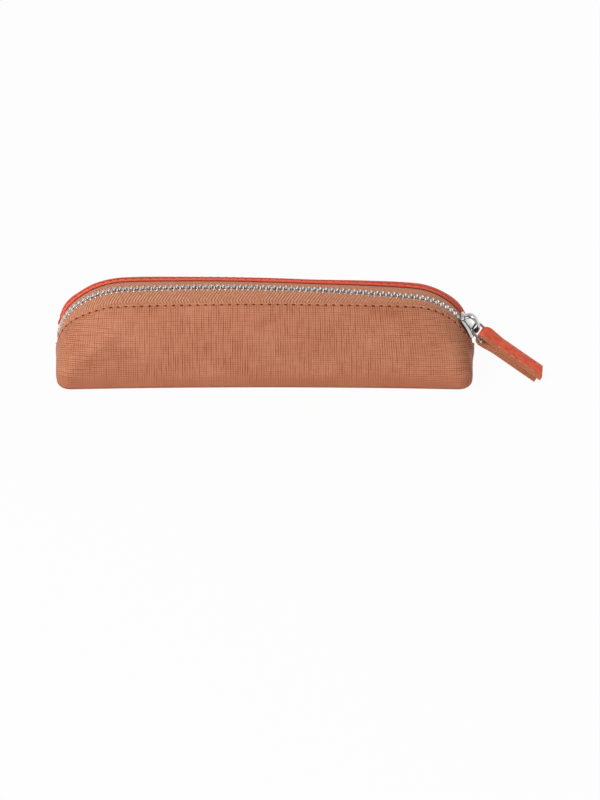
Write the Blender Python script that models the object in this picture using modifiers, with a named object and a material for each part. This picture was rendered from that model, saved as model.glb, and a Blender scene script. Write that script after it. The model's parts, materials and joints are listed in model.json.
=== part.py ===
"""Slim two-tone pen case with a metal zip, at its real size in metres, +Z up.

The case stands on its flat base. The origin is the middle of the base, +X runs along the
case towards the zip's slider, and -Y is the front. The zip runs over the top from the left
end to the right end. Every sewn panel hangs from the zip's path, and every metal piece of
the zip sits in the path's own frame: along the chain, across it, and out of the case.
"""
import math

import bmesh
import bpy
import numpy as np
from mathutils import Matrix, Vector

MM = 0.001

# Overall sizes of the case
BODY_LENGTH = 200 * MM
BASE_DEPTH = 46.4 * MM
RIDGE_HEIGHT = 44.7 * MM
BASE_INSET = 1.2 * MM
BASE_WAIST = 2.2 * MM
BASE_CORNER_RADIUS = 7 * MM
BASE_FOLD_RADIUS = 3 * MM
WALL_BULGE = 1.4 * MM

# The zip's path over the case, as arcs between headings from +X
LEFT_END_INSET = 1.2 * MM
SLIDER_INSET = 4 * MM
LEFT_LOWER_RADIUS = 24 * MM
LEFT_UPPER_RADIUS = 40 * MM
SHOULDER_RADIUS = 32 * MM
LEFT_LEAD = 4.5 * MM
RIGHT_LEAD = 3 * MM
LEFT_END_HEADING = math.radians(84)
LEFT_BEND_HEADING = math.radians(40)
LEFT_TOP_HEADING = math.radians(3)
RIGHT_TOP_HEADING = math.radians(-6.5)
SLIDER_HEADING = math.radians(-60)
RIGHT_END_HEADING = math.radians(-74)

# The opening between the two panels, half width and depth below the teeth
OPENING_HALF_WIDTH = 13 * MM
FRONT_DROP = 2.8 * MM
BACK_DROP = 1.2 * MM
OPENING_PLACE_SHARES = (0, 0.008, 0.022, 0.042, 0.070, 0.105, 0.150, 0.215, 0.330,
                        0.580, 0.716, 0.824, 0.900, 0.935, 0.958, 0.981, 0.992, 1)
FRONT_WIDTH_SHARES = (0.028, 0.30, 0.41, 0.50, 0.61, 0.74, 0.85, 0.93, 0.95,
                      0.86, 0.73, 0.58, 0.52, 0.50, 0.485, 0.455, 0.30, 0.028)
BACK_WIDTH_SHARES = (0.028, 0.36, 0.62, 0.72, 0.68, 0.68, 0.76, 0.76, 0.68,
                     0.60, 0.76, 0.90, 0.84, 0.80, 0.74, 0.58, 0.34, 0.028)

# Sheet materials and the gaps that sewn and touching pieces keep
SEAM_GAP = 0.3 * MM
END_SEAM_HALF_GAP = 0.36 * MM
BASE_SEAM_GAP = 0.8 * MM
LINING_GAP = 0.45 * MM
TAPE_GAP = 0.5 * MM
PANEL_THICKNESS = 1.1 * MM
LINING_THICKNESS = 0.4 * MM
TAPE_THICKNESS = 0.6 * MM
FRONT_ROLL = 8 * MM
FRONT_ROLL_SLOPE = math.radians(12)
BACK_ROLL = 13 * MM
BACK_ROLL_SLOPE = math.radians(-4)
WALL_RISE_SHARE = 0.42
FRONT_EDGE = (FRONT_DROP, FRONT_ROLL, FRONT_ROLL_SLOPE)
BACK_EDGE = (BACK_DROP, BACK_ROLL, BACK_ROLL_SLOPE)
TAPE_TUCK_SHARE = 0.08
TAPE_END = 4 * MM
TAPE_CROWN = 0.6 * MM
TAPE_CLOSE = 1.3
TAPE_FLAT_SHARE = 0.7

# Zip chain
CHAIN_PITCH = 2.72 * MM
TOOTH_THICKNESS = 1.0 * MM
TOOTH_HEIGHT = 2.2 * MM
TOOTH_REACH = 0.8 * MM
TOOTH_LEG_WIDTH = 1.5 * MM
TOOTH_NECK = 0.3 * MM
TOOTH_LEG_END = 3.0 * MM
TOOTH_THROAT = 1.15 * MM
TAPE_EDGE = 1.3 * MM
TAPE_FLAT = 3.2 * MM
CHAIN_START = 7.3 * MM
CHAIN_PAST_SLIDER = 0.5 * MM
STOP_LENGTH = 2.0 * MM
TOP_STOP_AHEAD = 1.9 * MM
STOP_WEB = 0.1 * MM
STOP_SLOT = 1.4 * MM
BOTTOM_STOP_HALF_WIDTH = 2.6 * MM

# Slider
SLIDER_LENGTH = 11.2 * MM
SLIDER_HALF_WIDTH = 5.0 * MM
SLIDER_PLATE = 0.9 * MM
SLIDER_CLEARANCE = 0.3 * MM
SLIDER_CHANNEL = 3.4 * MM
SLIDER_CHANNEL_FLARE = 0.5 * MM
SLIDER_RIM_DROP = 0.75 * MM
SLIDER_LOWER_RIM_DROP = 0.1 * MM
SLIDER_RIM_ROUND = 0.45 * MM
SLIDER_PLACE_SHARES = (-0.5, -0.46, -0.36, -0.16, 0.04, 0.2, 0.34, 0.44, 0.5)
SLIDER_WIDTH_SHARES = (0.76, 0.83, 0.86, 0.88, 0.91, 0.96, 1, 0.96, 0.84)
WEDGE_HALF_WIDTH = 0.75 * MM
WEDGE_START = 1.9 * MM
WEDGE_LENGTH = 3.4 * MM
WEDGE_ROOT = 0.3 * MM

# Bridge over the slider, which holds the pull's wire link
BRIDGE_LENGTH = 11.0 * MM
BRIDGE_HEIGHT = 4.7 * MM
BRIDGE_BAND = 1.1 * MM
BRIDGE_WIDTH = 3.8 * MM
BRIDGE_EDGE_ROUND = 0.3 * MM
BRIDGE_SQUARENESS = 2.6
BRIDGE_STEPS = 14

# Pull: wire link and folded strap, turned a little to the front
PULL_YAW = math.radians(20)
LINK_PLACE = 2.2 * MM
LINK_HEIGHT = 3.0 * MM
LINK_LENGTH = 7.4 * MM
LINK_DROP = math.radians(43)
LINK_WIRE_RADIUS = 0.6 * MM
LINK_TOP_HALF_WIDTH = 4.2 * MM
LINK_LOW_HALF_WIDTH = 5.5 * MM
LINK_CORNER_RADIUS = 1.0 * MM
LINK_CORNER_STEPS = 3
STRAP_LENGTH = 32 * MM
STRAP_WIDTH = 8.4 * MM
STRAP_DROP = math.radians(29)
STRAP_SKIN = 1.0 * MM
STRAP_LAYER_GAP = 0.3 * MM
STRAP_LOOP_GAP = 0.35 * MM
STRAP_NECK = 8.5 * MM
STRAP_LOWER_SHORTER = 1.5 * MM
STRAP_STEPS = 8
STRAP_LINING_DEPTH = STRAP_LAYER_GAP / 2 + STRAP_SKIN / 2
STRAP_FACE_DEPTH = STRAP_LINING_DEPTH + STRAP_SKIN + STRAP_LAYER_GAP

# Grid counts
LEFT_STEPS = 13
TOP_STEPS = 10
RIGHT_STEPS = 12
CURVED_SPAN = 48 * MM
WALL_SHARES = (0, 0.06, 0.14, 0.24, 0.37, 0.52, 0.7, 0.86, 1)
LINING_SHARES = (0.3, 0.44, 0.62, 0.8, 1)
FOLD_STEPS = 2
BASE_STEPS = 2


def clear_scene():
    """Remove every object, so that the script can run in any open file."""
    for old in list(bpy.data.objects):
        bpy.data.objects.remove(old, do_unlink=True)


def new_collection(name):
    group = bpy.data.collections.new(name)
    bpy.context.scene.collection.children.link(group)
    return group


def make_material(name, color, roughness, metallic):
    """A plain Principled finish in the colour of the piece."""
    finish = bpy.data.materials.new(name)
    finish.use_nodes = True
    shader = finish.node_tree.nodes["Principled BSDF"]
    shader.inputs["Base Color"].default_value = (*color, 1)
    shader.inputs["Roughness"].default_value = roughness
    shader.inputs["Metallic"].default_value = metallic
    return finish


def mesh_object(name, points, faces, group, finish=None):
    """Make an object from points and faces."""
    mesh = bpy.data.meshes.new(name)
    mesh.from_pydata([tuple(p) for p in points], [], [tuple(f) for f in faces])
    obj = bpy.data.objects.new(name, mesh)
    group.objects.link(obj)
    if finish:
        mesh.materials.append(finish)
    return obj


def grid_faces(rows, columns):
    """Quads over a grid of points that is stored row by row."""
    return [
        (r * columns + c, r * columns + c + 1, (r + 1) * columns + c + 1, (r + 1) * columns + c)
        for r in range(rows - 1)
        for c in range(columns - 1)
    ]


def smooth_interp(x, places, values):
    """Cubic curve through the given values, with slopes that never overshoot."""
    places, values = np.asarray(places, float), np.asarray(values, float)
    steps = np.diff(places)
    rises = np.diff(values) / steps
    slopes = np.zeros(len(places))
    same_way = rises[:-1] * rises[1:] > 0
    mean = 2 * rises[:-1] * rises[1:] / np.where(same_way, rises[:-1] + rises[1:], 1)
    slopes[1:-1] = np.where(same_way, mean, 0)
    slopes[0], slopes[-1] = rises[0], rises[-1]
    i = np.clip(np.searchsorted(places, x, side="right") - 1, 0, len(steps) - 1)
    t = (x - places[i]) / steps[i]
    return ((1 + 2 * t) * (1 - t) ** 2 * values[i] + t * (1 - t) ** 2 * steps[i] * slopes[i]
            + t * t * (3 - 2 * t) * values[i + 1] + t * t * (t - 1) * steps[i] * slopes[i + 1])


# The path of the zip's teeth, measured along the chain from its left end

def top_arc_radius():
    """Radius of the long top arc that makes the whole path span the case."""
    left = (LEFT_LOWER_RADIUS * (math.sin(LEFT_END_HEADING) - math.sin(LEFT_BEND_HEADING))
            + LEFT_UPPER_RADIUS * (math.sin(LEFT_BEND_HEADING) - math.sin(LEFT_TOP_HEADING)))
    right = SHOULDER_RADIUS * (math.sin(RIGHT_TOP_HEADING) - math.sin(SLIDER_HEADING))
    span = BODY_LENGTH - LEFT_END_INSET - SLIDER_INSET - left - right
    return span / (math.sin(LEFT_TOP_HEADING) - math.sin(RIGHT_TOP_HEADING))


PATH_ARCS = (
    (LEFT_LOWER_RADIUS, LEFT_END_HEADING, LEFT_BEND_HEADING),
    (LEFT_UPPER_RADIUS, LEFT_BEND_HEADING, LEFT_TOP_HEADING),
    (top_arc_radius(), LEFT_TOP_HEADING, RIGHT_TOP_HEADING),
    (SHOULDER_RADIUS, RIGHT_TOP_HEADING, SLIDER_HEADING),
    (SHOULDER_RADIUS, SLIDER_HEADING, RIGHT_END_HEADING),
)
ARC_LENGTHS = [radius * (start - end) for radius, start, end in PATH_ARCS]
PATH_LENGTH = LEFT_LEAD + sum(ARC_LENGTHS) + RIGHT_LEAD
SLIDER_STATION = LEFT_LEAD + sum(ARC_LENGTHS[:4])

# Centre of the shoulder's arc, which is the axis the slider turns about
SLIDER_X = BODY_LENGTH / 2 - SLIDER_INSET
SLIDER_Z = (RIDGE_HEIGHT - top_arc_radius() * (1 - math.cos(RIGHT_TOP_HEADING))
            - SHOULDER_RADIUS * (math.cos(RIGHT_TOP_HEADING) - math.cos(SLIDER_HEADING)))
SHOULDER_CENTRE = Vector((SLIDER_X + SHOULDER_RADIUS * math.sin(SLIDER_HEADING), 0,
                          SLIDER_Z - SHOULDER_RADIUS * math.cos(SLIDER_HEADING)))


def path_heading(s):
    """Heading of the path at each station: steady on the leads, turning evenly on arcs."""
    edges = np.cumsum([0, LEFT_LEAD, *ARC_LENGTHS, RIGHT_LEAD])
    turns = [LEFT_END_HEADING, LEFT_END_HEADING]
    turns += [end for radius, start, end in PATH_ARCS]
    turns += [RIGHT_END_HEADING]
    return np.interp(s, edges, turns)


def path_point(s):
    """Place on the path, as the sum of the arcs passed on the way to each station."""
    s = np.asarray(s, float)
    x = np.full(s.shape, -BODY_LENGTH / 2 + LEFT_END_INSET)
    lead = np.minimum(s - LEFT_LEAD, 0)
    x += lead * math.cos(LEFT_END_HEADING)
    z = lead * math.sin(LEFT_END_HEADING)
    start_station = LEFT_LEAD
    for (radius, start, end), length in zip(PATH_ARCS, ARC_LENGTHS):
        heading = start - np.clip(s - start_station, 0, length) / radius
        x += radius * (math.sin(start) - np.sin(heading))
        z += radius * (np.cos(heading) - math.cos(start))
        start_station += length
    tail = np.maximum(s - start_station, 0)
    x += tail * math.cos(RIGHT_END_HEADING)
    z += tail * math.sin(RIGHT_END_HEADING)
    return np.stack([x, np.zeros_like(x), z + left_end_height()], axis=-1)


def left_end_height():
    """Height of the path where its left arc begins, counted down from the ridge."""
    rise = sum(radius * (math.cos(end) - math.cos(start)) for radius, start, end in PATH_ARCS[:2])
    rise += top_arc_radius() * (1 - math.cos(LEFT_TOP_HEADING))
    return RIDGE_HEIGHT - rise


def path_frame(s):
    """Place, direction along the chain and outward normal at each station."""
    heading = path_heading(s)
    zero = np.zeros_like(heading)
    along = np.stack([np.cos(heading), zero, np.sin(heading)], axis=-1)
    out = np.stack([-np.sin(heading), zero, np.cos(heading)], axis=-1)
    return path_point(s), along, out


def opening_half_width(s, side):
    """Half width of the zip opening on one side, closing to a seam at both ends."""
    shares = FRONT_WIDTH_SHARES if side < 0 else BACK_WIDTH_SHARES
    return OPENING_HALF_WIDTH * smooth_interp(s / PATH_LENGTH, OPENING_PLACE_SHARES, shares)


# The panels, from the opening's edge down to the base

def base_outline(share, inset, side):
    """Half of a rounded rectangle, from the left end round the given side to the right end.

    The share counts the outline's length. Side is -1 for the front and 1 for the back. The
    long edge is drawn in by the waist at its middle.
    """
    half_x = BODY_LENGTH / 2 - BASE_INSET
    half_y = BASE_DEPTH / 2
    r = BASE_CORNER_RADIUS
    end = half_y - r - END_SEAM_HALF_GAP
    quarter = r * math.pi / 2
    front = 2 * (half_x - r)
    d = share * (2 * end + 2 * quarter + front)
    mirror = np.where(d > end + quarter + front / 2, -1, 1)
    d = np.minimum(d, 2 * end + 2 * quarter + front - d)
    angle = np.clip((d - end) / r, 0, math.pi / 2)
    r_in = r - inset
    x = -half_x + r - r_in * np.cos(angle) + np.maximum(d - end - quarter, 0)
    y = END_SEAM_HALF_GAP + np.minimum(d, end) + r_in * np.sin(angle)
    y = y - BASE_WAIST * np.sin(angle) * (1 - (x / half_x) ** 2)
    out = np.stack([-np.cos(angle) * mirror, side * np.sin(angle), np.zeros_like(d)], axis=-1)
    return np.stack([x * mirror, side * y, np.zeros_like(x)], axis=-1), out


def wall_surface(s, shares, side):
    """Outer face of a panel: a cubic curve at each station, from the opening to the base.

    It leaves the opening's edge nearly level, rolls over, and comes down upright with a
    slight bulge to the base's fold. Returns an array of rows by stations by 3.
    """
    place, along, out = path_frame(s)
    width = opening_half_width(s, side)[:, None]
    across = np.array([0, side, 0])
    drop, reach, slope = FRONT_EDGE if side < 0 else BACK_EDGE
    top = place + across * width - out * drop * (width / OPENING_HALF_WIDTH) ** 2
    foot, foot_out = base_outline(s / PATH_LENGTH, 0, side)
    foot = foot + np.array([0, 0, BASE_FOLD_RADIUS])
    roll = reach * width / OPENING_HALF_WIDTH
    upper = top + roll * (across * math.cos(slope) - out * math.sin(slope))
    rise = (top[:, 2:] - foot[:, 2:]) * WALL_RISE_SHARE
    lower = foot + rise * np.array([0, 0, 1]) + foot_out * WALL_BULGE
    t = np.asarray(shares, float)[:, None, None]
    return ((1 - t) ** 3 * top + 3 * (1 - t) ** 2 * t * upper
            + 3 * (1 - t) * t * t * lower + t ** 3 * foot)


def fold_surface(s, side, depth):
    """The rounded fold between wall and base, a quarter circle at each station.

    Depth moves it into the case, about the same centre.
    """
    rows = []
    for step in range(1, FOLD_STEPS + 1):
        angle = step / FOLD_STEPS * math.pi / 2
        inset = BASE_FOLD_RADIUS - (BASE_FOLD_RADIUS - depth) * math.cos(angle)
        row, out = base_outline(s / PATH_LENGTH, inset, side)
        row[:, 2] = BASE_FOLD_RADIUS - (BASE_FOLD_RADIUS - depth) * math.sin(angle)
        rows.append(row)
    return np.array(rows)


def base_surface(s):
    """The flat base: ruled from the front fold to the middle line, then to the rear edge."""
    share = s / PATH_LENGTH
    front, out = base_outline(share, BASE_FOLD_RADIUS, -1)
    rear, out = base_outline(share, BASE_FOLD_RADIUS + BASE_SEAM_GAP, 1)
    middle = np.zeros_like(front)
    middle[:, 0] = np.interp(share, (0, 1), (front[0, 0], front[-1, 0]))
    first = [front + (middle - front) * k / BASE_STEPS for k in range(1, BASE_STEPS + 1)]
    second = [middle + (rear - middle) * k / BASE_STEPS for k in range(1, BASE_STEPS + 1)]
    return np.array(first + second)


def grid_normals(grid, side):
    """Unit normals of a grid of points, pointing out of the case."""
    down = np.gradient(grid, axis=0)
    along = np.gradient(grid, axis=1)
    normal = np.cross(down, along) * side
    return normal / np.linalg.norm(normal, axis=-1, keepdims=True)


def wall_stations(skip=1):
    """Stations along the path, closer together where it curves."""
    left = np.linspace(0, CURVED_SPAN, LEFT_STEPS + 1)[:-1]
    middle = np.linspace(CURVED_SPAN, PATH_LENGTH - CURVED_SPAN, TOP_STEPS + 1)[:-1]
    right = np.linspace(PATH_LENGTH - CURVED_SPAN, PATH_LENGTH, RIGHT_STEPS + 1)
    stations = np.concatenate([left, middle, right])
    return np.unique(np.append(stations[::skip], stations[-1]))


def shell_object(name, grid, thickness, group, finish, flip):
    """A sheet of even thickness under a grid of points, thickened into the case."""
    rows, columns = grid.shape[:2]
    faces = grid_faces(rows, columns)
    if flip:
        faces = [face[::-1] for face in faces]
    obj = mesh_object(name, grid.reshape(-1, 3), faces, group, finish)
    solid = obj.modifiers.new("Thickness", "SOLIDIFY")
    solid.thickness = thickness
    solid.offset = -1
    return obj


def inner_wall(s, shares, side, depth):
    """A panel's wall moved into the case, and kept on its own side of the end seams."""
    wall = wall_surface(s, shares, side)
    wall = wall - grid_normals(wall, -side) * depth
    wall[:, :, 1] = side * np.maximum(side * wall[:, :, 1], END_SEAM_HALF_GAP)
    return wall


def make_panel(name, side, group, finish):
    """One outer panel. The front one carries the base as well, up to the rear edge."""
    s = wall_stations()
    parts = [wall_surface(s, WALL_SHARES, side), fold_surface(s, side, 0)]
    if side < 0:
        parts.append(base_surface(s))
    return shell_object(name, np.concatenate(parts), PANEL_THICKNESS, group, finish, side < 0)


def make_lining(name, side, group, finish):
    """The thin lining behind a panel, from below the zip tape's hidden edge."""
    s = wall_stations(2)
    depth = PANEL_THICKNESS + LINING_GAP
    parts = [inner_wall(s, LINING_SHARES, side, depth), fold_surface(s, side, depth)]
    if side < 0:
        base = base_surface(s)
        base[:, :, 2] = depth
        parts.append(base)
    return shell_object(name, np.concatenate(parts), LINING_THICKNESS, group, finish, side < 0)


# The zip: tapes, teeth and stops, each in the frame of the path

def tape_grid(side):
    """Middle face of a zip tape: level under the teeth, then crowned down under the panel."""
    s = np.unique(np.clip(wall_stations(), TAPE_END, PATH_LENGTH - TAPE_END))
    place, along, out = path_frame(s)
    across = np.array([0, side, 0])
    core = place - out * TOOTH_HEIGHT / 2
    depth = PANEL_THICKNESS + TAPE_GAP + TAPE_THICKNESS / 2
    edge = inner_wall(s, (0, TAPE_TUCK_SHARE, 2 * TAPE_TUCK_SHARE), side, depth)[:2]
    width = opening_half_width(s, side)[:, None]
    tuck = np.clip((TAPE_FLAT * TAPE_CLOSE - width) / TAPE_FLAT, 0, 1)
    core = core - out * depth * tuck
    flat = np.minimum(TAPE_FLAT, width * TAPE_FLAT_SHARE)
    inner = core + across * np.minimum(TAPE_EDGE, flat / 2)
    level = core + across * flat
    middle = (level + edge[0]) / 2 + out * TAPE_CROWN * width / OPENING_HALF_WIDTH
    return np.array([inner, level, middle, edge[0], edge[1]])


def frame_matrix(s, side):
    """Local axes at a station: X along the chain, Y away from the middle, Z out."""
    place, along, out = (Vector(v[0]) for v in path_frame(np.array([s])))
    across = Vector((0, side, 0))
    if side < 0:
        along = -along
    matrix = Matrix((along, across, out)).transposed().to_4x4()
    matrix.translation = place
    return matrix


def bridge_rings(bm, rings):
    """Faces between rings of vertices, with a cap on the first and the last."""
    count = len(rings[0])
    for first, second in zip(rings, rings[1:]):
        for i in range(count):
            j = (i + 1) % count
            bm.faces.new((first[i], first[j], second[j], second[i]))
    bm.faces.new(rings[0][::-1])
    bm.faces.new(rings[-1])


def extruded_profile(bm, profile, thickness, matrix):
    """Add a closed outline in local Y and Z, extruded along local X about its middle."""
    ends = (-thickness / 2, thickness / 2)
    bridge_rings(bm, [[bm.verts.new(matrix @ Vector((x, y, z))) for y, z in profile] for x in ends])


def bmesh_object(name, bm, group, finish):
    bmesh.ops.recalc_face_normals(bm, faces=bm.faces)
    mesh = bpy.data.meshes.new(name)
    bm.to_mesh(mesh)
    bm.free()
    obj = bpy.data.objects.new(name, mesh)
    group.objects.link(obj)
    if finish:
        mesh.materials.append(finish)
    return obj


def tooth_outline():
    """Plan of a tooth, along and across the chain: wide legs and a narrower head."""
    leg, head = TOOTH_LEG_WIDTH / 2, TOOTH_THICKNESS / 2
    return (
        (-leg, TOOTH_LEG_END), (-leg, TOOTH_THROAT), (-head, TOOTH_THROAT - TOOTH_NECK),
        (-head, -TOOTH_REACH), (head, -TOOTH_REACH), (head, TOOTH_THROAT - TOOTH_NECK),
        (leg, TOOTH_THROAT), (leg, TOOTH_LEG_END),
    )


def make_stringer(name, side, group, cutters, finish, metal):
    """One half of the zip: a tape with its teeth clamped on, which interlock by their heads.

    The teeth of the two sides are half a pitch apart along the path.
    """
    obj = shell_object(name, tape_grid(side), TAPE_THICKNESS, group, finish, side < 0)
    obj.modifiers["Thickness"].offset = 0
    bm = bmesh.new()
    last = SLIDER_STATION + CHAIN_PAST_SLIDER
    first = CHAIN_START + (CHAIN_PITCH / 2 if side > 0 else 0)
    for i in range(int((last - first) / CHAIN_PITCH) + 1):
        matrix = frame_matrix(first + i * CHAIN_PITCH, side)
        rings = [[bm.verts.new(matrix @ Vector((x, y, z))) for x, y in tooth_outline()]
                 for z in (0, -TOOTH_HEIGHT)]
        bridge_rings(bm, rings)
    teeth = bmesh_object(name + "_teeth", bm, cutters, metal)
    teeth.hide_render = True
    teeth.display_type = "WIRE"
    union = obj.modifiers.new("Teeth", "BOOLEAN")
    union.operation = "UNION"
    union.object = teeth
    return obj


def make_top_stop(name, side, group, finish):
    """The metal stop at the closed end of one tape, beside the slider's wedge."""
    bm = bmesh.new()
    station = SLIDER_STATION + TOP_STOP_AHEAD + STOP_LENGTH / 2
    low, mid, slot = -TOOTH_HEIGHT, -TOOTH_HEIGHT / 2, STOP_SLOT / 2
    near, web, far = TOOTH_THROAT - STOP_WEB, TOOTH_THROAT + STOP_WEB, TOOTH_LEG_END
    profile = (
        (near, 0), (far, 0), (far, mid + slot), (web, mid + slot), (web, mid - slot),
        (far, mid - slot), (far, low), (near, low),
    )
    extruded_profile(bm, profile, STOP_LENGTH, frame_matrix(station, side))
    return bmesh_object(name, bm, group, finish)


def make_bottom_stop(name, group, finish):
    """The stop that joins both tapes at the open end: one block with a slot on each side."""
    bm = bmesh.new()
    wide = BOTTOM_STOP_HALF_WIDTH
    low, mid, slot = -TOOTH_HEIGHT, -TOOTH_HEIGHT / 2, STOP_SLOT / 2
    web = TOOTH_THROAT - STOP_WEB
    profile = (
        (-wide, 0), (wide, 0), (wide, mid + slot), (web, mid + slot), (web, mid - slot),
        (wide, mid - slot), (wide, low), (-wide, low), (-wide, mid - slot),
        (-web, mid - slot), (-web, mid + slot), (-wide, mid + slot),
    )
    station = CHAIN_START - TOOTH_LEG_WIDTH / 2 - SEAM_GAP - STOP_LENGTH / 2
    extruded_profile(bm, profile, STOP_LENGTH, frame_matrix(station, 1))
    return bmesh_object(name, bm, group, finish)


# The slider, bent to the shoulder's arc, so that it follows the chain

def bent(t, y, n):
    """Point at t along the arc from the slider's middle, y across and n out of the case.

    The result is measured from the arc's centre.
    """
    angle = -SLIDER_HEADING + t / SHOULDER_RADIUS
    r = SHOULDER_RADIUS + n
    return Vector((r * math.sin(angle), y, r * math.cos(angle)))


def loft(name, sections, group, finish):
    """Join closed sections of equal point counts, with a cap on each end."""
    bm = bmesh.new()
    bridge_rings(bm, [[bm.verts.new(p) for p in section] for section in sections])
    return bmesh_object(name, bm, group, finish)


def slider_shell(name, upper, group, finish):
    """One plate of the slider with its rims, widening from the tail to the mouth."""
    middle = -TOOTH_HEIGHT / 2
    rise = TOOTH_HEIGHT / 2 + SLIDER_CLEARANCE
    rim = rise - (SLIDER_RIM_DROP if upper else SLIDER_LOWER_RIM_DROP)
    sections = []
    for place, share in zip(SLIDER_PLACE_SHARES, SLIDER_WIDTH_SHARES):
        wide = SLIDER_HALF_WIDTH * share
        flare = SLIDER_CHANNEL_FLARE * max(place, 0) * 2
        inner = min(SLIDER_CHANNEL + flare, wide - SLIDER_RIM_ROUND)
        top = rise + SLIDER_PLATE
        outline = [
            (-wide, rim), (-inner, rim), (-inner, rise), (inner, rise), (inner, rim), (wide, rim),
            (wide, top - SLIDER_RIM_ROUND), (wide - SLIDER_RIM_ROUND, top),
            (-wide + SLIDER_RIM_ROUND, top), (-wide, top - SLIDER_RIM_ROUND),
        ]
        sign = 1 if upper else -1
        sections.append([bent(place * SLIDER_LENGTH, y, middle + sign * n) for y, n in outline])
    return loft(name, sections, group, finish)


def make_slider(name, group, cutters, finish, axis):
    """Two plates joined by the wedge that parts the teeth at the mouth."""
    body = slider_shell(name, True, group, finish)
    lower = slider_shell("slider_lower_plate", False, cutters, finish)
    rise = TOOTH_HEIGHT / 2 + SLIDER_CLEARANCE + WEDGE_ROOT
    middle = -TOOTH_HEIGHT / 2
    start, end = WEDGE_START, WEDGE_START + WEDGE_LENGTH
    half = WEDGE_LENGTH / 2
    outline = (
        (start, 0), (start + half, -WEDGE_HALF_WIDTH), (end, -WEDGE_HALF_WIDTH / 2),
        (end, WEDGE_HALF_WIDTH / 2), (start + half, WEDGE_HALF_WIDTH),
    )
    sections = [[bent(t, y, middle + n) for t, y in outline] for n in (-rise, rise)]
    wedge = loft("slider_wedge", sections, cutters, finish)
    for tool in (lower, wedge):
        tool.hide_render = True
        tool.display_type = "WIRE"
        tool.parent = axis
        union = body.modifiers.new(tool.name, "BOOLEAN")
        union.operation = "UNION"
        union.object = tool
    body.parent = axis
    return body


def superellipse(half_length, height, steps):
    """Upper half of a superellipse, from its far end over the top to its near end."""
    points = []
    for i in range(steps + 1):
        angle = math.pi * i / steps
        c, s = math.cos(angle), math.sin(angle)
        power = 2 / BRIDGE_SQUARENESS
        points.append((math.copysign(abs(c) ** power, c) * half_length, s ** power * height))
    return points


def flat_curve(name, points, half_width, group, finish, edge=0):
    """A closed outline in local X and Z, filled and thickened evenly along local Y."""
    data = bpy.data.curves.new(name, "CURVE")
    data.dimensions = "2D"
    data.fill_mode = "BOTH"
    data.extrude = half_width - edge
    data.bevel_depth = edge
    data.offset = -edge
    data.bevel_resolution = 1
    spline = data.splines.new("POLY")
    spline.points.add(len(points) - 1)
    for slot, (x, z) in zip(spline.points, points):
        slot.co = (x, z, 0, 1)
    spline.use_cyclic_u = True
    data.materials.append(finish)
    obj = bpy.data.objects.new(name, data)
    group.objects.link(obj)
    return obj


def make_bridge(name, group, finish, frame):
    """The arch over the slider: the band between two superellipses, standing on its feet."""
    outer = superellipse(BRIDGE_LENGTH / 2, BRIDGE_HEIGHT, BRIDGE_STEPS)
    inner = superellipse(BRIDGE_LENGTH / 2 - BRIDGE_BAND, BRIDGE_HEIGHT - BRIDGE_BAND, BRIDGE_STEPS)
    foot = SLIDER_CLEARANCE + SLIDER_PLATE
    points = [(x, foot + z) for x, z in outer + inner[::-1]]
    obj = flat_curve(name, points, BRIDGE_WIDTH / 2, group, finish, BRIDGE_EDGE_ROUND)
    obj.rotation_euler = (math.pi / 2, 0, 0)
    obj.parent = frame
    return obj


def make_link(name, group, finish, frame):
    """The pull's wire link: a closed loop, narrow in the bridge and wide in the strap."""
    corners = (
        (0, -LINK_TOP_HALF_WIDTH), (LINK_LENGTH, -LINK_LOW_HALF_WIDTH),
        (LINK_LENGTH, LINK_LOW_HALF_WIDTH), (0, LINK_TOP_HALF_WIDTH),
    )
    points = []
    for i, corner in enumerate(corners):
        here = Vector(corner)
        before = (Vector(corners[i - 1]) - here).normalized() * LINK_CORNER_RADIUS
        after = (Vector(corners[(i + 1) % 4]) - here).normalized() * LINK_CORNER_RADIUS
        for k in range(LINK_CORNER_STEPS + 1):
            t = k / LINK_CORNER_STEPS
            points.append(here + before * (1 - t) ** 2 + after * t * t)
    data = bpy.data.curves.new(name, "CURVE")
    data.dimensions = "3D"
    data.bevel_depth = LINK_WIRE_RADIUS
    data.bevel_resolution = 2
    spline = data.splines.new("POLY")
    spline.points.add(len(points) - 1)
    for slot, p in zip(spline.points, points):
        slot.co = (p.x, p.y, 0, 1)
    spline.use_cyclic_u = True
    data.materials.append(finish)
    obj = bpy.data.objects.new(name, data)
    group.objects.link(obj)
    obj.parent = frame
    return obj


# The folded strap on the link's lower bar

def strap_line(depth_out):
    """Middle line of one strap layer: out along the lower leg, round the bar and back.

    depth_out is the layer's distance from the face where the two legs meet. The legs open
    smoothly over the neck to the loop round the bar.
    """
    loop = LINK_WIRE_RADIUS + STRAP_LOOP_GAP + depth_out - STRAP_LAYER_GAP / 2
    x = STRAP_NECK * np.linspace(1, 0, STRAP_STEPS)
    blend = 1 - x / STRAP_NECK
    ease = blend * blend * (3 - 2 * blend)
    z = depth_out + (loop - depth_out) * ease
    upper = [(STRAP_LENGTH, depth_out), *zip(x, z)]
    angles = np.linspace(0, math.pi, STRAP_STEPS)[1:-1]
    nose = [(-loop * math.sin(a), loop * math.cos(a)) for a in angles]
    lower = [(px, -pz) for px, pz in zip(x[::-1], z[::-1])]
    lower.append((STRAP_LENGTH - STRAP_LOWER_SHORTER, -depth_out))
    return np.array([*upper, *nose, *lower])


def band_outline(line, thickness):
    """Closed outline of even thickness about a line."""
    step = np.gradient(line, axis=0)
    step /= np.linalg.norm(step, axis=1, keepdims=True)
    side = np.stack([-step[:, 1], step[:, 0]], axis=1) * thickness / 2
    return [tuple(p) for p in np.concatenate([line + side, (line - side)[::-1]])]


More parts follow.
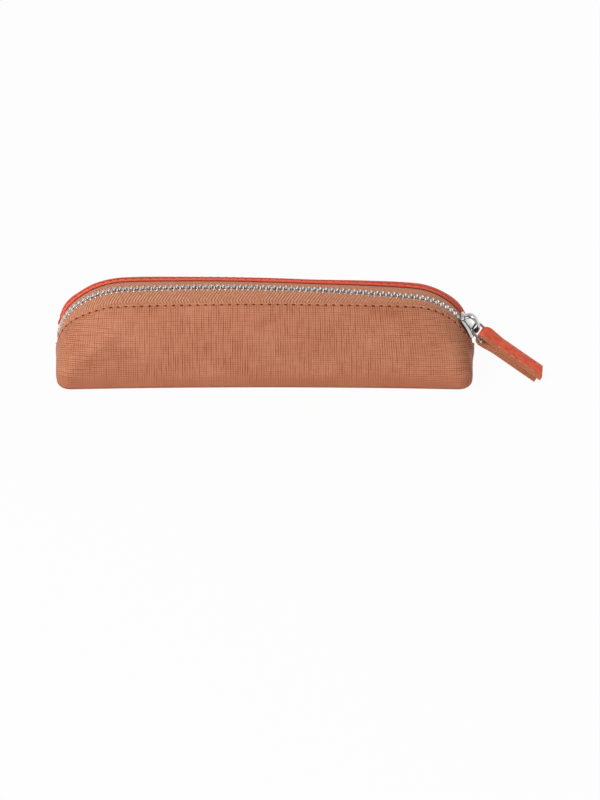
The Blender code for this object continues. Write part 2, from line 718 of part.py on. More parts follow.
def make_strap_layer(name, depth_out, group, finish, frame):
    """One layer of the folded strap, as wide as the strap."""
    outline = band_outline(strap_line(depth_out), STRAP_SKIN)
    obj = flat_curve(name, outline, STRAP_WIDTH / 2, group, finish)
    obj.rotation_euler = (math.pi / 2, 0, 0)
    obj.parent = frame
    return obj


def make_empty(name, group, matrix, parent=None):
    """An axis that moving pieces hang from."""
    empty = bpy.data.objects.new(name, None)
    group.objects.link(empty)
    empty.matrix_world = matrix
    if parent:
        bpy.context.view_layer.update()
        empty.parent = parent
        empty.matrix_parent_inverse = parent.matrix_world.inverted()
    bpy.context.view_layer.update()
    return empty


def pull_frames():
    """Frames of the slider's middle, the link's upper bar and the strap's bar."""
    slider = Matrix.Rotation(-SLIDER_HEADING, 4, "Y")
    slider.translation = SHOULDER_CENTRE + bent(0, 0, 0)
    yaw = Matrix.Rotation(-PULL_YAW, 4, "Z")
    link = yaw @ Matrix.Rotation(LINK_DROP, 4, "Y")
    link.translation = slider @ Vector((LINK_PLACE, 0, LINK_HEIGHT))
    strap = yaw @ Matrix.Rotation(STRAP_DROP, 4, "Y")
    strap.translation = link @ Vector((LINK_LENGTH, 0, 0))
    return slider, link, strap


def build():
    clear_scene()
    parts = new_collection("pen_case")
    cutters = new_collection("cutters")
    tan = make_material("tan_leather", (0.53, 0.19, 0.11), 0.55, 0)
    coral = make_material("coral_leather", (0.76, 0.09, 0.045), 0.5, 0)
    cloth = make_material("lining_cloth", (0.30, 0.16, 0.11), 0.9, 0)
    tape = make_material("zip_tape", (0.60, 0.24, 0.13), 0.85, 0)
    steel = make_material("nickel", (0.62, 0.61, 0.60), 0.25, 1)
    make_panel("front_panel", -1, parts, tan)
    make_panel("back_panel", 1, parts, coral)
    make_lining("front_lining", -1, parts, cloth)
    make_lining("back_lining", 1, parts, cloth)
    for side, word in ((-1, "front"), (1, "back")):
        make_stringer(word + "_stringer", side, parts, cutters, tape, steel)
        make_top_stop(word + "_top_stop", side, parts, steel)
    make_bottom_stop("bottom_stop", parts, steel)
    slider, link, strap = pull_frames()
    axis = make_empty("slider_axis", parts, Matrix.Translation(SHOULDER_CENTRE))
    middle = make_empty("slider_middle", parts, slider, axis)
    upper = make_empty("link_axis", parts, link, middle)
    lower = make_empty("strap_axis", parts, strap, upper)
    make_slider("slider_body", parts, cutters, steel, axis)
    make_bridge("slider_bridge", parts, steel, middle)
    make_link("pull_link", parts, steel, upper)
    make_strap_layer("strap_lining", STRAP_LINING_DEPTH, parts, tan, lower)
    make_strap_layer("strap_face", STRAP_FACE_DEPTH, parts, coral, lower)


build()
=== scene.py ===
"""Looks of the slim two-tone pen case, dressed over its CAD frame.

Every piece is a parametric surface in metres, in the frame of the case: +X towards the
slider, -Y the front, +Z up. The panels, tapes and teeth follow the same path over the top as
the CAD solids do, and the slider, link and strap start from their joints.
"""
import json
import math

import bpy
import numpy as np
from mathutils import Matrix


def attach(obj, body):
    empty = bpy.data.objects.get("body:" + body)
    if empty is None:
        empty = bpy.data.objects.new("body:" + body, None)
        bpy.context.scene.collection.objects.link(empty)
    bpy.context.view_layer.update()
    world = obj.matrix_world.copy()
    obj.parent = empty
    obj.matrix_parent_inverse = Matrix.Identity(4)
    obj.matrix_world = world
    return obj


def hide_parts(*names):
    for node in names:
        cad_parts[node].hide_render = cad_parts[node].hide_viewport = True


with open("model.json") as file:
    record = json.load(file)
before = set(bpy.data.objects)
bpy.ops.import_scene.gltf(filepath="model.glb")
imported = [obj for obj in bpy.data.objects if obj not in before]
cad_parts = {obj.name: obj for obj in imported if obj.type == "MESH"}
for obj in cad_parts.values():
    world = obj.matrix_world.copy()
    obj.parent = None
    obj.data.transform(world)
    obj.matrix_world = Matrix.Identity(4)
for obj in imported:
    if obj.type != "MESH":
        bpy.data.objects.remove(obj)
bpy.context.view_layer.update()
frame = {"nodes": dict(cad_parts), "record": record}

MM = 0.001

# Sizes shared with the CAD solids
BODY_LENGTH = 200 * MM
BASE_DEPTH = 46.4 * MM
RIDGE_HEIGHT = 44.7 * MM
BASE_INSET = 1.2 * MM
BASE_WAIST = 2.2 * MM
BASE_CORNER_RADIUS = 7 * MM
BASE_FOLD_RADIUS = 3 * MM
WALL_BULGE = 1.4 * MM
LEFT_END_INSET = 1.2 * MM
SLIDER_INSET = 4 * MM
LEFT_LOWER_RADIUS = 24 * MM
LEFT_UPPER_RADIUS = 40 * MM
SHOULDER_RADIUS = 32 * MM
LEFT_LEAD = 4.5 * MM
RIGHT_LEAD = 3 * MM
LEFT_END_HEADING = math.radians(84)
LEFT_BEND_HEADING = math.radians(40)
LEFT_TOP_HEADING = math.radians(3)
RIGHT_TOP_HEADING = math.radians(-6.5)
SLIDER_HEADING = math.radians(-60)
RIGHT_END_HEADING = math.radians(-74)
OPENING_HALF_WIDTH = 13 * MM
OPENING_PLACE_SHARES = (0, 0.008, 0.022, 0.042, 0.070, 0.105, 0.150, 0.215, 0.330,
                        0.580, 0.716, 0.824, 0.900, 0.935, 0.958, 0.981, 0.992, 1)
FRONT_WIDTH_SHARES = (0.028, 0.30, 0.41, 0.50, 0.61, 0.74, 0.85, 0.93, 0.95,
                      0.86, 0.73, 0.58, 0.52, 0.50, 0.485, 0.455, 0.30, 0.028)
BACK_WIDTH_SHARES = (0.028, 0.36, 0.62, 0.72, 0.68, 0.68, 0.76, 0.76, 0.68,
                     0.60, 0.76, 0.90, 0.84, 0.80, 0.74, 0.58, 0.34, 0.028)
# Drop of the edge below the teeth, reach of its roll and slope where it starts
FRONT_EDGE = (2.8 * MM, 8 * MM, math.radians(12))
BACK_EDGE = (1.2 * MM, 13 * MM, math.radians(-4))
END_SEAM_HALF_GAP = 0.36 * MM
BASE_SEAM_GAP = 0.8 * MM
LINING_GAP = 0.45 * MM
TAPE_GAP = 0.5 * MM
PANEL_THICKNESS = 1.1 * MM
LINING_THICKNESS = 0.4 * MM
TAPE_THICKNESS = 0.6 * MM
WALL_RISE_SHARE = 0.42
TAPE_EDGE = 1.3 * MM
TAPE_FLAT = 3.2 * MM
CHAIN_PITCH = 2.72 * MM
CHAIN_START = 7.3 * MM
CHAIN_PAST_SLIDER = 0.5 * MM
TOOTH_HEIGHT = 2.2 * MM
SLIDER_LENGTH = 11.2 * MM
SLIDER_HALF_WIDTH = 5 * MM
SLIDER_PLATE = 0.9 * MM
SLIDER_CLEARANCE = 0.3 * MM
SLIDER_CHANNEL = 3.4 * MM
SLIDER_PLACE_SHARES = (-0.5, -0.46, -0.36, -0.16, 0.04, 0.2, 0.34, 0.44, 0.5)
PULL_YAW = math.radians(20)
LINK_LENGTH = 7.4 * MM
LINK_DROP = math.radians(43)
LINK_WIRE_RADIUS = 0.6 * MM
LINK_TOP_HALF_WIDTH = 4.2 * MM
LINK_LOW_HALF_WIDTH = 5.5 * MM
LINK_CORNER_RADIUS = 1.0 * MM
STRAP_LENGTH = 32 * MM
STRAP_WIDTH = 8.4 * MM
STRAP_DROP = math.radians(29)
STRAP_SKIN = 1.0 * MM
STRAP_LAYER_GAP = 0.3 * MM
STRAP_LOOP_GAP = 0.35 * MM
STRAP_NECK = 8.5 * MM
STRAP_LOWER_SHORTER = 1.5 * MM

# Sizes of the dressed pieces alone, or other than the solids' own
TAPE_END = 1.5 * MM
TAPE_COLUMNS = 300
TAPE_CLOSE = 1.3
TAPE_FLAT_SHARE = 0.7
TAPE_CROWN = 0.6 * MM
TAPE_CORD = 0.1 * MM
FRONT_TOOTH_LEAN = math.radians(9)
BACK_TOOTH_LEAN = math.radians(3)
TOOTH_CORNER = 0.17 * MM
# Sections of a tooth from its head to the ends of its legs, in millimetres: the place away from
# the middle of the zip, the half width, and how far the top stands down
TOOTH_SECTIONS = ((-0.80, 0.28, 0.45), (-0.74, 0.42, 0.20), (-0.50, 0.50, 0.02),
                  (-0.10, 0.47, 0.14), (0.35, 0.42, 0.24), (0.75, 0.42, 0.14),
                  (1.10, 0.46, 0.03), (1.6, 0.47, 0.05), (2.1, 0.46, 0.15),
                  (2.5, 0.45, 0.36), (2.75, 0.42, 0.64), (2.9, 0.36, 1.05))
SLIDER_WIDTH_SHARES = (0.70, 0.80, 0.86, 0.88, 0.91, 0.96, 1, 0.97, 0.84)
SLIDER_UPPER_PLATE = 1.3 * MM
# Thickness of each plate, drop of its rims, room at its tail and rise of its dome
UPPER_PLATE = (SLIDER_UPPER_PLATE, 0.35 * MM, 0.3 * MM, 0.3 * MM)
LOWER_PLATE = (SLIDER_PLATE, 0.1 * MM, 0, 0)
PLATE_ROUND = 0.42 * MM
RIM_WIDTH = 0.45 * MM
RIM_CUT = 0.12 * MM
POST_PLACE = 3.6 * MM
POST_HALF_LENGTH = 1.7 * MM
POST_HALF_WIDTH = 0.75 * MM
POST_ROOT = 0.3 * MM
BRIDGE_LENGTH = 10.4 * MM
BRIDGE_SHIFT = 0.5 * MM
BRIDGE_HEIGHT = 4.4 * MM
BRIDGE_BAND = 1.3 * MM
BRIDGE_FOOT_WIDTH = 4.4 * MM
BRIDGE_CROWN_WIDTH = 5.6 * MM
BRIDGE_LINE_SQUARENESS = 2.5
BRIDGE_BAND_SQUARENESS = 2.8
STRAP_SEWN_GAP = 0.04 * MM
STRAP_EDGE_ROUND = 0.14 * MM
STRAP_END_SLANT = 1.4 * MM
STRAP_END_LEAD = 6 * MM
# Rounds of a section: the slider's channel, the inside of the bridge, the strap's two faces and
# the strap's outer corners on its far and its near edge. Channel, bridge inside and strap corners
# get dark looks as painted shade
CHANNEL_ROUNDS = (0, 1, 2, 17, 18, 19)
BRIDGE_INSIDE_ROUNDS = tuple(range(1, 13))
STRAP_FACE_ROUNDS = (3, 11)
STRAP_FAR_ROUNDS = (12, 13, 14)
STRAP_NEAR_ROUNDS = (8, 9, 10)

# Seams and threads
SEAM_STITCH_PITCH = 3.8 * MM
SEAM_STITCH_LENGTH = 2.7 * MM
SEAM_STITCH_RADIUS = 0.33 * MM
SEAM_STITCH_INSET = 0.75 * MM
SEAM_STITCH_SINK = -0.05 * MM
# Needle holes: short dark pieces sunk in the leather, painted shade in the holes
SEAM_HOLE_LENGTH = 1.5 * MM
SEAM_HOLE_RADIUS = 0.38 * MM
SEAM_HOLE_INSET = 0.95 * MM
SEAM_HOLE_SINK = 0.12 * MM
SEAM_START = 6 * MM
SEAM_END = 7 * MM
THREAD_ROUNDS = 8
THREAD_STEPS = 9
# The back's hole pieces sit right at the edge: painted shade line between the coral band and tape
BACK_HOLE_INSET = 0.05 * MM
STRAP_STITCH_PITCH = 3.9 * MM
STRAP_STITCH_LENGTH = 2.9 * MM
STRAP_STITCH_RADIUS = 0.21 * MM
STRAP_STITCH_INSETS = {-1: 0.5 * MM, 1: 0.9 * MM}
STRAP_STITCH_SINK = 0.06 * MM
STRAP_STITCH_MARGIN = 1.2 * MM

# The photograph's view: metres of the object's plane for each pixel, and two known pixels
VIEW_ELEVATION = math.radians(30)
METRES_PER_PIXEL = 0.478 * MM
PIXEL_OF_ORIGIN_X = 264.75
PIXEL_OF_FRONT_FOLD_Y = 388
FRONT_FOLD_VIEW_HEIGHT = -9.65 * MM
IMAGE_WIDTH = 600
IMAGE_HEIGHT = 800
CAMERA_DISTANCE = 4.5
SENSOR_WIDTH = 36

# Floor and world
FLOOR_HALF_SIZE = 3.0
FLOOR_GLOW = 0.95
# Tones of the world along its lean, from the dark front to the white wall
WORLD_TONES = ((0.0, 0.22), (0.5, 0.26), (0.68, 0.7), (0.84, 1.0))
WORLD_STRENGTH = 0.8


# Mesh builders: every piece is a closed grid of points

def shell_faces(rounds, steps, ring):
    """Quads of a tube whose first index goes round and whose second goes along.

    Each end is zipped shut, first point to last point, unless the tube is a ring.
    """
    r = np.arange(rounds)[:, None]
    after = (r + 1) % rounds
    c = np.arange(steps if ring else steps - 1)[None, :]
    d = (c + 1) % steps
    sides = np.stack([r * steps + c, after * steps + c, after * steps + d, r * steps + d], axis=-1)
    faces = [sides.reshape(-1, 4)]
    if not ring:
        k = np.arange(rounds // 2 - 1)
        cap = np.stack([k, rounds - 1 - k, rounds - 2 - k, k + 1], axis=-1) * steps
        faces += [cap, cap[:, ::-1] + steps - 1]
    return np.concatenate(faces)


def mesh_piece(name, points, faces, material, uv=None, sharp=40, kinds=None, lip=None):
    """Object from point and quad arrays, turned outward, smooth but for edges over an angle.

    The UV map "cloth" holds the place on the flat material and "lip" the nearness of an edge,
    where the leather gets a painted highlight.
    """
    a, b, c, d = (points[faces[:, i]] for i in range(4))
    volume = np.einsum("ij,ij->", a, np.cross(b, c)) + np.einsum("ij,ij->", a, np.cross(c, d))
    if volume < 0:
        faces = faces[:, ::-1]
    mesh = bpy.data.meshes.new(name)
    mesh.vertices.add(len(points))
    mesh.vertices.foreach_set("co", np.ascontiguousarray(points, np.float32).ravel())
    mesh.loops.add(faces.size)
    mesh.loops.foreach_set("vertex_index", np.ascontiguousarray(faces, np.int32).ravel())
    mesh.polygons.add(len(faces))
    mesh.polygons.foreach_set("loop_start", np.arange(0, faces.size, 4, dtype=np.int32))
    for item in material if isinstance(material, (list, tuple)) else [material]:
        mesh.materials.append(item)
    if kinds is not None:
        mesh.polygons.foreach_set("material_index", np.ascontiguousarray(kinds, np.int32))
    for title, values in (("cloth", uv), ("lip", lip)):
        if values is not None:
            corners = values.reshape(-1, 2)[faces.ravel()]
            layer = mesh.uv_layers.new(name=title)
            layer.data.foreach_set("uv", np.ascontiguousarray(corners, np.float32).ravel())
    mesh.update(calc_edges=True)
    mesh.validate()
    mesh.shade_smooth()
    mesh.set_sharp_from_angle(angle=math.radians(sharp))
    obj = bpy.data.objects.new(name, mesh)
    bpy.context.scene.collection.objects.link(obj)
    return obj


def tube(name, grid, material, uv=None, ring=False, sharp=40, kinds=None, lip=None):
    """One piece from a grid of points: rounds by steps by 3."""
    faces = shell_faces(*grid.shape[:2], ring)
    return mesh_piece(name, grid.reshape(-1, 3), faces, material, uv, sharp, kinds, lip)


def copies(name, unit, places, axes, material, sharp=40):
    """Many copies of one small grid, each set by its place and its three axes."""
    local = unit.reshape(-1, 3)
    points = places[:, None, :] + np.einsum("pk,nkj->npj", local, axes)
    faces = shell_faces(*unit.shape[:2], False)
    shifts = np.arange(len(places))[:, None, None] * len(local)
    uv = np.tile(local[:, [0, 2]], (len(places), 1))
    return mesh_piece(name, points.reshape(-1, 3), (faces[None] + shifts).reshape(-1, 4),
                      material, uv, sharp)


def unit_rows(v):
    return v / np.linalg.norm(v, axis=-1, keepdims=True)


def passed(distance, width):
    """Share of a width that a distance has passed, 0 to 1."""
    return np.clip(distance / width, 0, 1)


def bell(distance, width):
    """Bell curve of a distance, 1 at its middle."""
    return np.exp(-(distance / width) ** 2)


def plane_line(x, z):
    """Points of a flat line from its two coordinates."""
    return np.stack(np.broadcast_arrays(x, z), axis=-1)


def squared_off(value, squareness):
    """Cosine or sine of a superellipse, whose corners fill out with its squareness."""
    return np.sign(value) * np.abs(value) ** (2 / squareness)


def swept(line, step, outline):
    """A flat line, moved off to the left of its steps by the height of each outline point."""
    return line + outline[:, 1:, None] * (step[:, ::-1] * (-1, 1))


def smooth_interp(x, places, values):
    """Cubic curve through the given values, with slopes that never overshoot."""
    places, values = np.asarray(places, float), np.asarray(values, float)
    steps = np.diff(places)
    rises = np.diff(values) / steps
    slopes = np.zeros(len(places))
    same_way = rises[:-1] * rises[1:] > 0
    mean = 2 * rises[:-1] * rises[1:] / np.where(same_way, rises[:-1] + rises[1:], 1)
    slopes[1:-1] = np.where(same_way, mean, 0)
    slopes[0], slopes[-1] = rises[0], rises[-1]
    i = np.clip(np.searchsorted(places, x, side="right") - 1, 0, len(steps) - 1)
    t = (x - places[i]) / steps[i]
    return ((1 + 2 * t) * (1 - t) ** 2 * values[i] + t * (1 - t) ** 2 * steps[i] * slopes[i]
            + t * t * (3 - 2 * t) * values[i + 1] + t * t * (t - 1) * steps[i] * slopes[i + 1])


# The path of the zip over the case

def top_arc_radius():
    """Radius of the long top arc that makes the whole path span the case."""
    left = (LEFT_LOWER_RADIUS * (math.sin(LEFT_END_HEADING) - math.sin(LEFT_BEND_HEADING))
            + LEFT_UPPER_RADIUS * (math.sin(LEFT_BEND_HEADING) - math.sin(LEFT_TOP_HEADING)))
    right = SHOULDER_RADIUS * (math.sin(RIGHT_TOP_HEADING) - math.sin(SLIDER_HEADING))
    span = BODY_LENGTH - LEFT_END_INSET - SLIDER_INSET - left - right
    return span / (math.sin(LEFT_TOP_HEADING) - math.sin(RIGHT_TOP_HEADING))


PATH_ARCS = (
    (LEFT_LOWER_RADIUS, LEFT_END_HEADING, LEFT_BEND_HEADING),
    (LEFT_UPPER_RADIUS, LEFT_BEND_HEADING, LEFT_TOP_HEADING),
    (top_arc_radius(), LEFT_TOP_HEADING, RIGHT_TOP_HEADING),
    (SHOULDER_RADIUS, RIGHT_TOP_HEADING, SLIDER_HEADING),
    (SHOULDER_RADIUS, SLIDER_HEADING, RIGHT_END_HEADING),
)
ARC_LENGTHS = [radius * (start - end) for radius, start, end in PATH_ARCS]
PATH_LENGTH = LEFT_LEAD + sum(ARC_LENGTHS) + RIGHT_LEAD
SLIDER_STATION = LEFT_LEAD + sum(ARC_LENGTHS[:4])


def path_frame(s):
    """Place, direction along the chain and outward normal at each station.

    The place is the sum of the arcs passed on the way, and the heading turns evenly on them.
    """
    s = np.asarray(s, float)
    edges = np.cumsum([0, LEFT_LEAD, *ARC_LENGTHS, RIGHT_LEAD])
    turns = [LEFT_END_HEADING, LEFT_END_HEADING, *[arc[2] for arc in PATH_ARCS], RIGHT_END_HEADING]
    heading = np.interp(s, edges, turns)
    lead = np.minimum(s - LEFT_LEAD, 0)
    rise = sum(radius * (math.cos(end) - math.cos(start)) for radius, start, end in PATH_ARCS[:2])
    x = -BODY_LENGTH / 2 + LEFT_END_INSET + lead * math.cos(LEFT_END_HEADING)
    z = lead * math.sin(LEFT_END_HEADING) + RIDGE_HEIGHT - rise
    z -= top_arc_radius() * (1 - math.cos(LEFT_TOP_HEADING))
    station = LEFT_LEAD
    for (radius, start, end), length in zip(PATH_ARCS, ARC_LENGTHS):
        here = start - np.clip(s - station, 0, length) / radius
        x = x + radius * (math.sin(start) - np.sin(here))
        z = z + radius * (np.cos(here) - math.cos(start))
        station += length
    tail = np.maximum(s - station, 0)
    x = x + tail * math.cos(RIGHT_END_HEADING)
    z = z + tail * math.sin(RIGHT_END_HEADING)
    zero = np.zeros_like(heading)
    along = np.stack([np.cos(heading), zero, np.sin(heading)], axis=-1)
    out = np.stack([-np.sin(heading), zero, np.cos(heading)], axis=-1)
    return np.stack([x, zero, z], axis=-1), along, out


def opening_half_width(s, side):
    shares = FRONT_WIDTH_SHARES if side < 0 else BACK_WIDTH_SHARES
    return OPENING_HALF_WIDTH * smooth_interp(s / PATH_LENGTH, OPENING_PLACE_SHARES, shares)


# The leather panels and their linings

PANEL_COLUMNS = 430
PANEL_WALL_ROWS = 64
PANEL_FOLD_ROWS = 8
PANEL_BASE_ROWS = 34
LINING_COLUMNS = 120
LINING_WALL_ROWS = 26
LINING_BASE_ROWS = 12
LINING_TOP_ROW = 8
TURN_ALONG = 0.35
TURN_UP = 0.58
BACK_LIP_REACH = 0.7 * MM
BACK_LIP_DEPTH = 1.2 * MM
LIP_SHINE_DEPTH = 0.6 * MM
# The back panel's ends: how far they are tucked in, from which x over which run, and from which
# height down over which fall
BACK_END_TUCK, TUCK_X, TUCK_RUN = 0.9 * MM, 88 * MM, 9 * MM
TUCK_HEIGHT, TUCK_FALL = 27 * MM, 13 * MM
# The end seams' closing: how far each edge moves, over which width and below which height
END_SEAM_CLOSING, CLOSING_WIDTH, CLOSING_HEIGHT = 0.3 * MM, 3 * MM, 11 * MM
CORNER_CREASE = 0.8 * MM
CREASE_WIDTH = 3.5 * MM
CREASE_ENDS = (np.array([-97.4, 6.5]) * MM, np.array([-74, 27]) * MM)
# The seam's bead along the edge, the groove under its stitches and the dimples of the needle
BEAD_RISE, BEAD_INSET, BEAD_WIDTH, BEAD_DIP = 0.30 * MM, 0.3 * MM, 0.4 * MM, 0.22 * MM
GROOVE_DEPTH, GROOVE_WIDTH, DIMPLE_DEPTH, DIMPLE_WIDTH = 0.12 * MM, 0.42 * MM, 0.26 * MM, 0.8 * MM
RELIEF_LEAD = 6 * MM
PLAIN_END = 12 * MM
SEAM_WALL_SHARES = np.linspace(0, 0.12, 40)


def base_outline(share, inset, side):
    """Half of a rounded rectangle, from the left end round the given side to the right end."""
    half_x = BODY_LENGTH / 2 - BASE_INSET
    r = BASE_CORNER_RADIUS
    end = BASE_DEPTH / 2 - r - END_SEAM_HALF_GAP
    quarter = r * math.pi / 2
    front = 2 * (half_x - r)
    d = share * (2 * end + 2 * quarter + front)
    mirror = np.where(d > end + quarter + front / 2, -1, 1)
    d = np.minimum(d, 2 * end + 2 * quarter + front - d)
    angle = np.clip((d - end) / r, 0, math.pi / 2)
    x = -half_x + r - (r - inset) * np.cos(angle) + np.maximum(d - end - quarter, 0)
    y = END_SEAM_HALF_GAP + np.minimum(d, end) + (r - inset) * np.sin(angle)
    y = y - BASE_WAIST * np.sin(angle) * (1 - (x / half_x) ** 2)
    out = np.stack([-np.cos(angle) * mirror, side * np.sin(angle), np.zeros_like(d)], axis=-1)
    return np.stack([x * mirror, side * y, np.zeros_like(x)], axis=-1), out


def wall_surface(s, shares, side):
    """Outer face of a panel: a cubic curve at each station, from the opening to the base."""
    place, _, out = path_frame(s)
    width = opening_half_width(s, side)[:, None]
    across = np.array([0, side, 0])
    drop, reach, slope = FRONT_EDGE if side < 0 else BACK_EDGE
    top = place + across * width - out * drop * (width / OPENING_HALF_WIDTH) ** 2
    foot, foot_out = base_outline(s / PATH_LENGTH, 0, side)
    foot = foot + np.array([0, 0, BASE_FOLD_RADIUS])
    roll = reach * width / OPENING_HALF_WIDTH
    upper = top + roll * (across * math.cos(slope) - out * math.sin(slope))
    rise = (top[:, 2:] - foot[:, 2:]) * WALL_RISE_SHARE
    lower = foot + rise * np.array([0, 0, 1]) + foot_out * WALL_BULGE
    t = np.asarray(shares, float)[:, None, None]
    return ((1 - t) ** 3 * top + 3 * (1 - t) ** 2 * t * upper
            + 3 * (1 - t) * t * t * lower + t ** 3 * foot)


def panel_surface(s, side, wall_rows, base_rows):
    """Wall, quarter-round fold and, on the front panel, the flat base up to the rear edge."""
    shares = np.linspace(0, 1, wall_rows) ** 1.25
    rows = [wall_surface(s, shares, side)]
    fold = []
    for angle in np.arange(1, PANEL_FOLD_ROWS + 1) / PANEL_FOLD_ROWS * math.pi / 2:
        row = base_outline(s / PATH_LENGTH, BASE_FOLD_RADIUS * (1 - math.cos(angle)), side)[0]
        row[:, 2] = BASE_FOLD_RADIUS * (1 - math.sin(angle))
        fold.append(row)
    rows.append(np.array(fold))
    if side < 0:
        front = fold[-1]
        rear = base_outline(s / PATH_LENGTH, BASE_FOLD_RADIUS + BASE_SEAM_GAP, 1)[0]
        share = np.linspace(0, 1, base_rows)[1:, None, None]
        rows.append(front + (rear - front) * share)
    return np.concatenate(rows)


def surface_normals(grid, side):
    """Unit normals of a grid of points, on the outer side of the case."""
    normal = np.cross(np.gradient(grid, axis=0), np.gradient(grid, axis=1)) * -side
    return unit_rows(normal)


def flat_pattern(grid, level_row):
    """Place of each point on the leather before it was sewn, in metres.

    Up, it is the distance climbed in the middle of the case to the point's own height. Along,
    it is the distance from the middle. How far the point lies in from the middle's wall at its
    height, where the wall turns round the corner, adds a share to both. The base repeats the
    row where it starts.
    """
    middle = grid[:level_row + 1 or None, grid.shape[1] // 2]
    climbed = depth_below(middle[:, None])[:, 0]
    height = grid[..., 2]
    depth = np.interp(height, middle[::-1, 2], np.abs(middle[::-1, 1]))
    turned = np.maximum(depth - np.abs(grid[..., 1]), 0)
    u = grid[..., 0] + np.sign(grid[..., 0]) * turned * TURN_ALONG
    v = np.interp(height, middle[::-1, 2], climbed[-1] - climbed[::-1]) + turned * TURN_UP
    if level_row > 0:
        v[level_row:] = v[level_row] - np.abs(grid[level_row:, :, 1] - grid[level_row, :, 1])
        u[level_row:] = u[level_row]
    return np.stack([u, v], axis=-1)


def depth_below(rows):
    """Distance of each point of a grid from the first row, down its own column."""
    fall = np.linalg.norm(np.diff(rows, axis=0), axis=-1)
    return np.concatenate([np.zeros((1, rows.shape[1])), np.cumsum(fall, axis=0)])


def stitch_stations():
    """Stations of the seam's stitches, evenly spaced between the ends of the opening."""
    count = int((PATH_LENGTH - SEAM_END - SEAM_START) / SEAM_STITCH_PITCH) + 1
    return SEAM_START + SEAM_STITCH_PITCH * np.arange(count)


def hole_stations():
    """Stations of the needle holes, half way between the stitches."""
    return stitch_stations()[:-1] + SEAM_STITCH_PITCH / 2


def soft_unevenness(u, v):
    """Slight waves of soft leather, as a sum of a few long waves."""
    return (0.10 * np.sin(u * 61 + v * 40) + 0.08 * np.sin(u * 117 - v * 83 + 1.3)
            + 0.06 * np.sin(u * 23 + v * 150 + 0.4)) * MM


def corner_crease(points):
    """Soft ridge up from the lower left corner: a bell of the distance from its line."""
    start, end = CREASE_ENDS
    length = np.linalg.norm(end - start)
    along = (end - start) / length
    reach = points[..., [0, 2]] - start
    run = reach @ along / length
    off = reach[..., 0] * along[1] - reach[..., 1] * along[0]
    fade = passed(np.minimum(run, 1.3 - run), 0.25)
    return CORNER_CREASE * bell(off, CREASE_WIDTH) * fade * passed(points[..., 2], 5 * MM)


def end_tuck(points):
    """How far the back panel's ends lie in behind the front panel: most at the ends, low down."""
    outer_share = passed(np.abs(points[..., 0]) - TUCK_X, TUCK_RUN)
    return BACK_END_TUCK * outer_share * passed(TUCK_HEIGHT - points[..., 2], TUCK_FALL)


def seam_closing(points, side):
    """How far a panel's end edges move in, below the opening, to meet the other panel's."""
    near = 1 - passed(side * points[..., 1] - END_SEAM_HALF_GAP, CLOSING_WIDTH)
    return END_SEAM_CLOSING * near * passed(CLOSING_HEIGHT - points[..., 2], CLOSING_WIDTH)


def panel_relief(side, stations, outer, uv, from_edge):
    """Height on a panel's face: soft waves, the seam's bead and groove, and needle dimples."""
    near = np.abs(stations[None, :] - hole_stations()[:, None]).min(axis=0)
    pull = bell(near, DIMPLE_WIDTH)
    bead = bell(from_edge - BEAD_INSET, BEAD_WIDTH) * (BEAD_RISE - BEAD_DIP * pull)
    groove = bell(from_edge - SEAM_HOLE_INSET, GROOVE_WIDTH) * (GROOVE_DEPTH + DIMPLE_DEPTH * pull)
    waves = soft_unevenness(uv[..., 0], from_edge)
    waves = waves * passed(outer[..., 2], RELIEF_LEAD) * passed(from_edge, RELIEF_LEAD)
    by_slider = passed(stations - PATH_LENGTH + PLAIN_END, RELIEF_LEAD)
    relief = waves + (bead - groove) * (1 - by_slider)
    return relief + corner_crease(outer) if side < 0 else relief


def panel_piece(name, side, material, node):
    """A leather panel: outer face, rounded edge and inner face, with a dimple at each stitch."""
    stations = np.linspace(0, PATH_LENGTH, PANEL_COLUMNS)
    outer = panel_surface(stations, side, PANEL_WALL_ROWS, PANEL_BASE_ROWS)
    normal = surface_normals(outer, side)
    level_row = PANEL_WALL_ROWS + PANEL_FOLD_ROWS - 1
    normal[level_row:] = (0, 0, -1)
    uv = flat_pattern(outer, level_row)
    from_edge = depth_below(outer)
    outer = outer + normal * panel_relief(side, stations, outer, uv, from_edge)[..., None]
    outer[..., 1] -= side * seam_closing(outer, side)
    if side > 0:
        outer[..., 0] -= np.sign(outer[..., 0]) * end_tuck(outer)
        width_share = opening_half_width(stations, side) / OPENING_HALF_WIDTH
        outer[..., 1] -= BACK_LIP_REACH * width_share * bell(from_edge, BACK_LIP_DEPTH)
    inner = outer - normal * PANEL_THICKNESS
    wall = slice(0, level_row + 1)
    inner[wall, :, 1] = side * np.maximum(side * inner[wall, :, 1], 0.1 * MM)
    middle = (outer[0] + inner[0]) / 2
    outward = unit_rows(outer[0] - outer[2])
    angle = np.linspace(0, math.pi, 8)[1:-1, None, None]
    edge = (middle + (inner[0] - middle) * np.cos(angle)
            + outward * PANEL_THICKNESS / 2 * np.sin(angle))
    edge_uv = uv[:1] - np.arange(len(edge))[:, None, None] * 0.2 * MM
    # Nearness to the edge for the "lip" map: a painted highlight, in full on the rolled edge
    near_edge = np.clip(1.5 - from_edge / LIP_SHINE_DEPTH, 0, 1)
    near_edge = np.concatenate([near_edge, near_edge[::-1], np.ones(edge.shape[:2])])
    obj = tube(name, np.concatenate([outer, inner[::-1], edge]), material,
               np.concatenate([uv, uv[::-1] + 0.5, edge_uv]), sharp=60,
               lip=np.stack([near_edge, near_edge], axis=-1))
    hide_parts(node)
    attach(obj, "case")


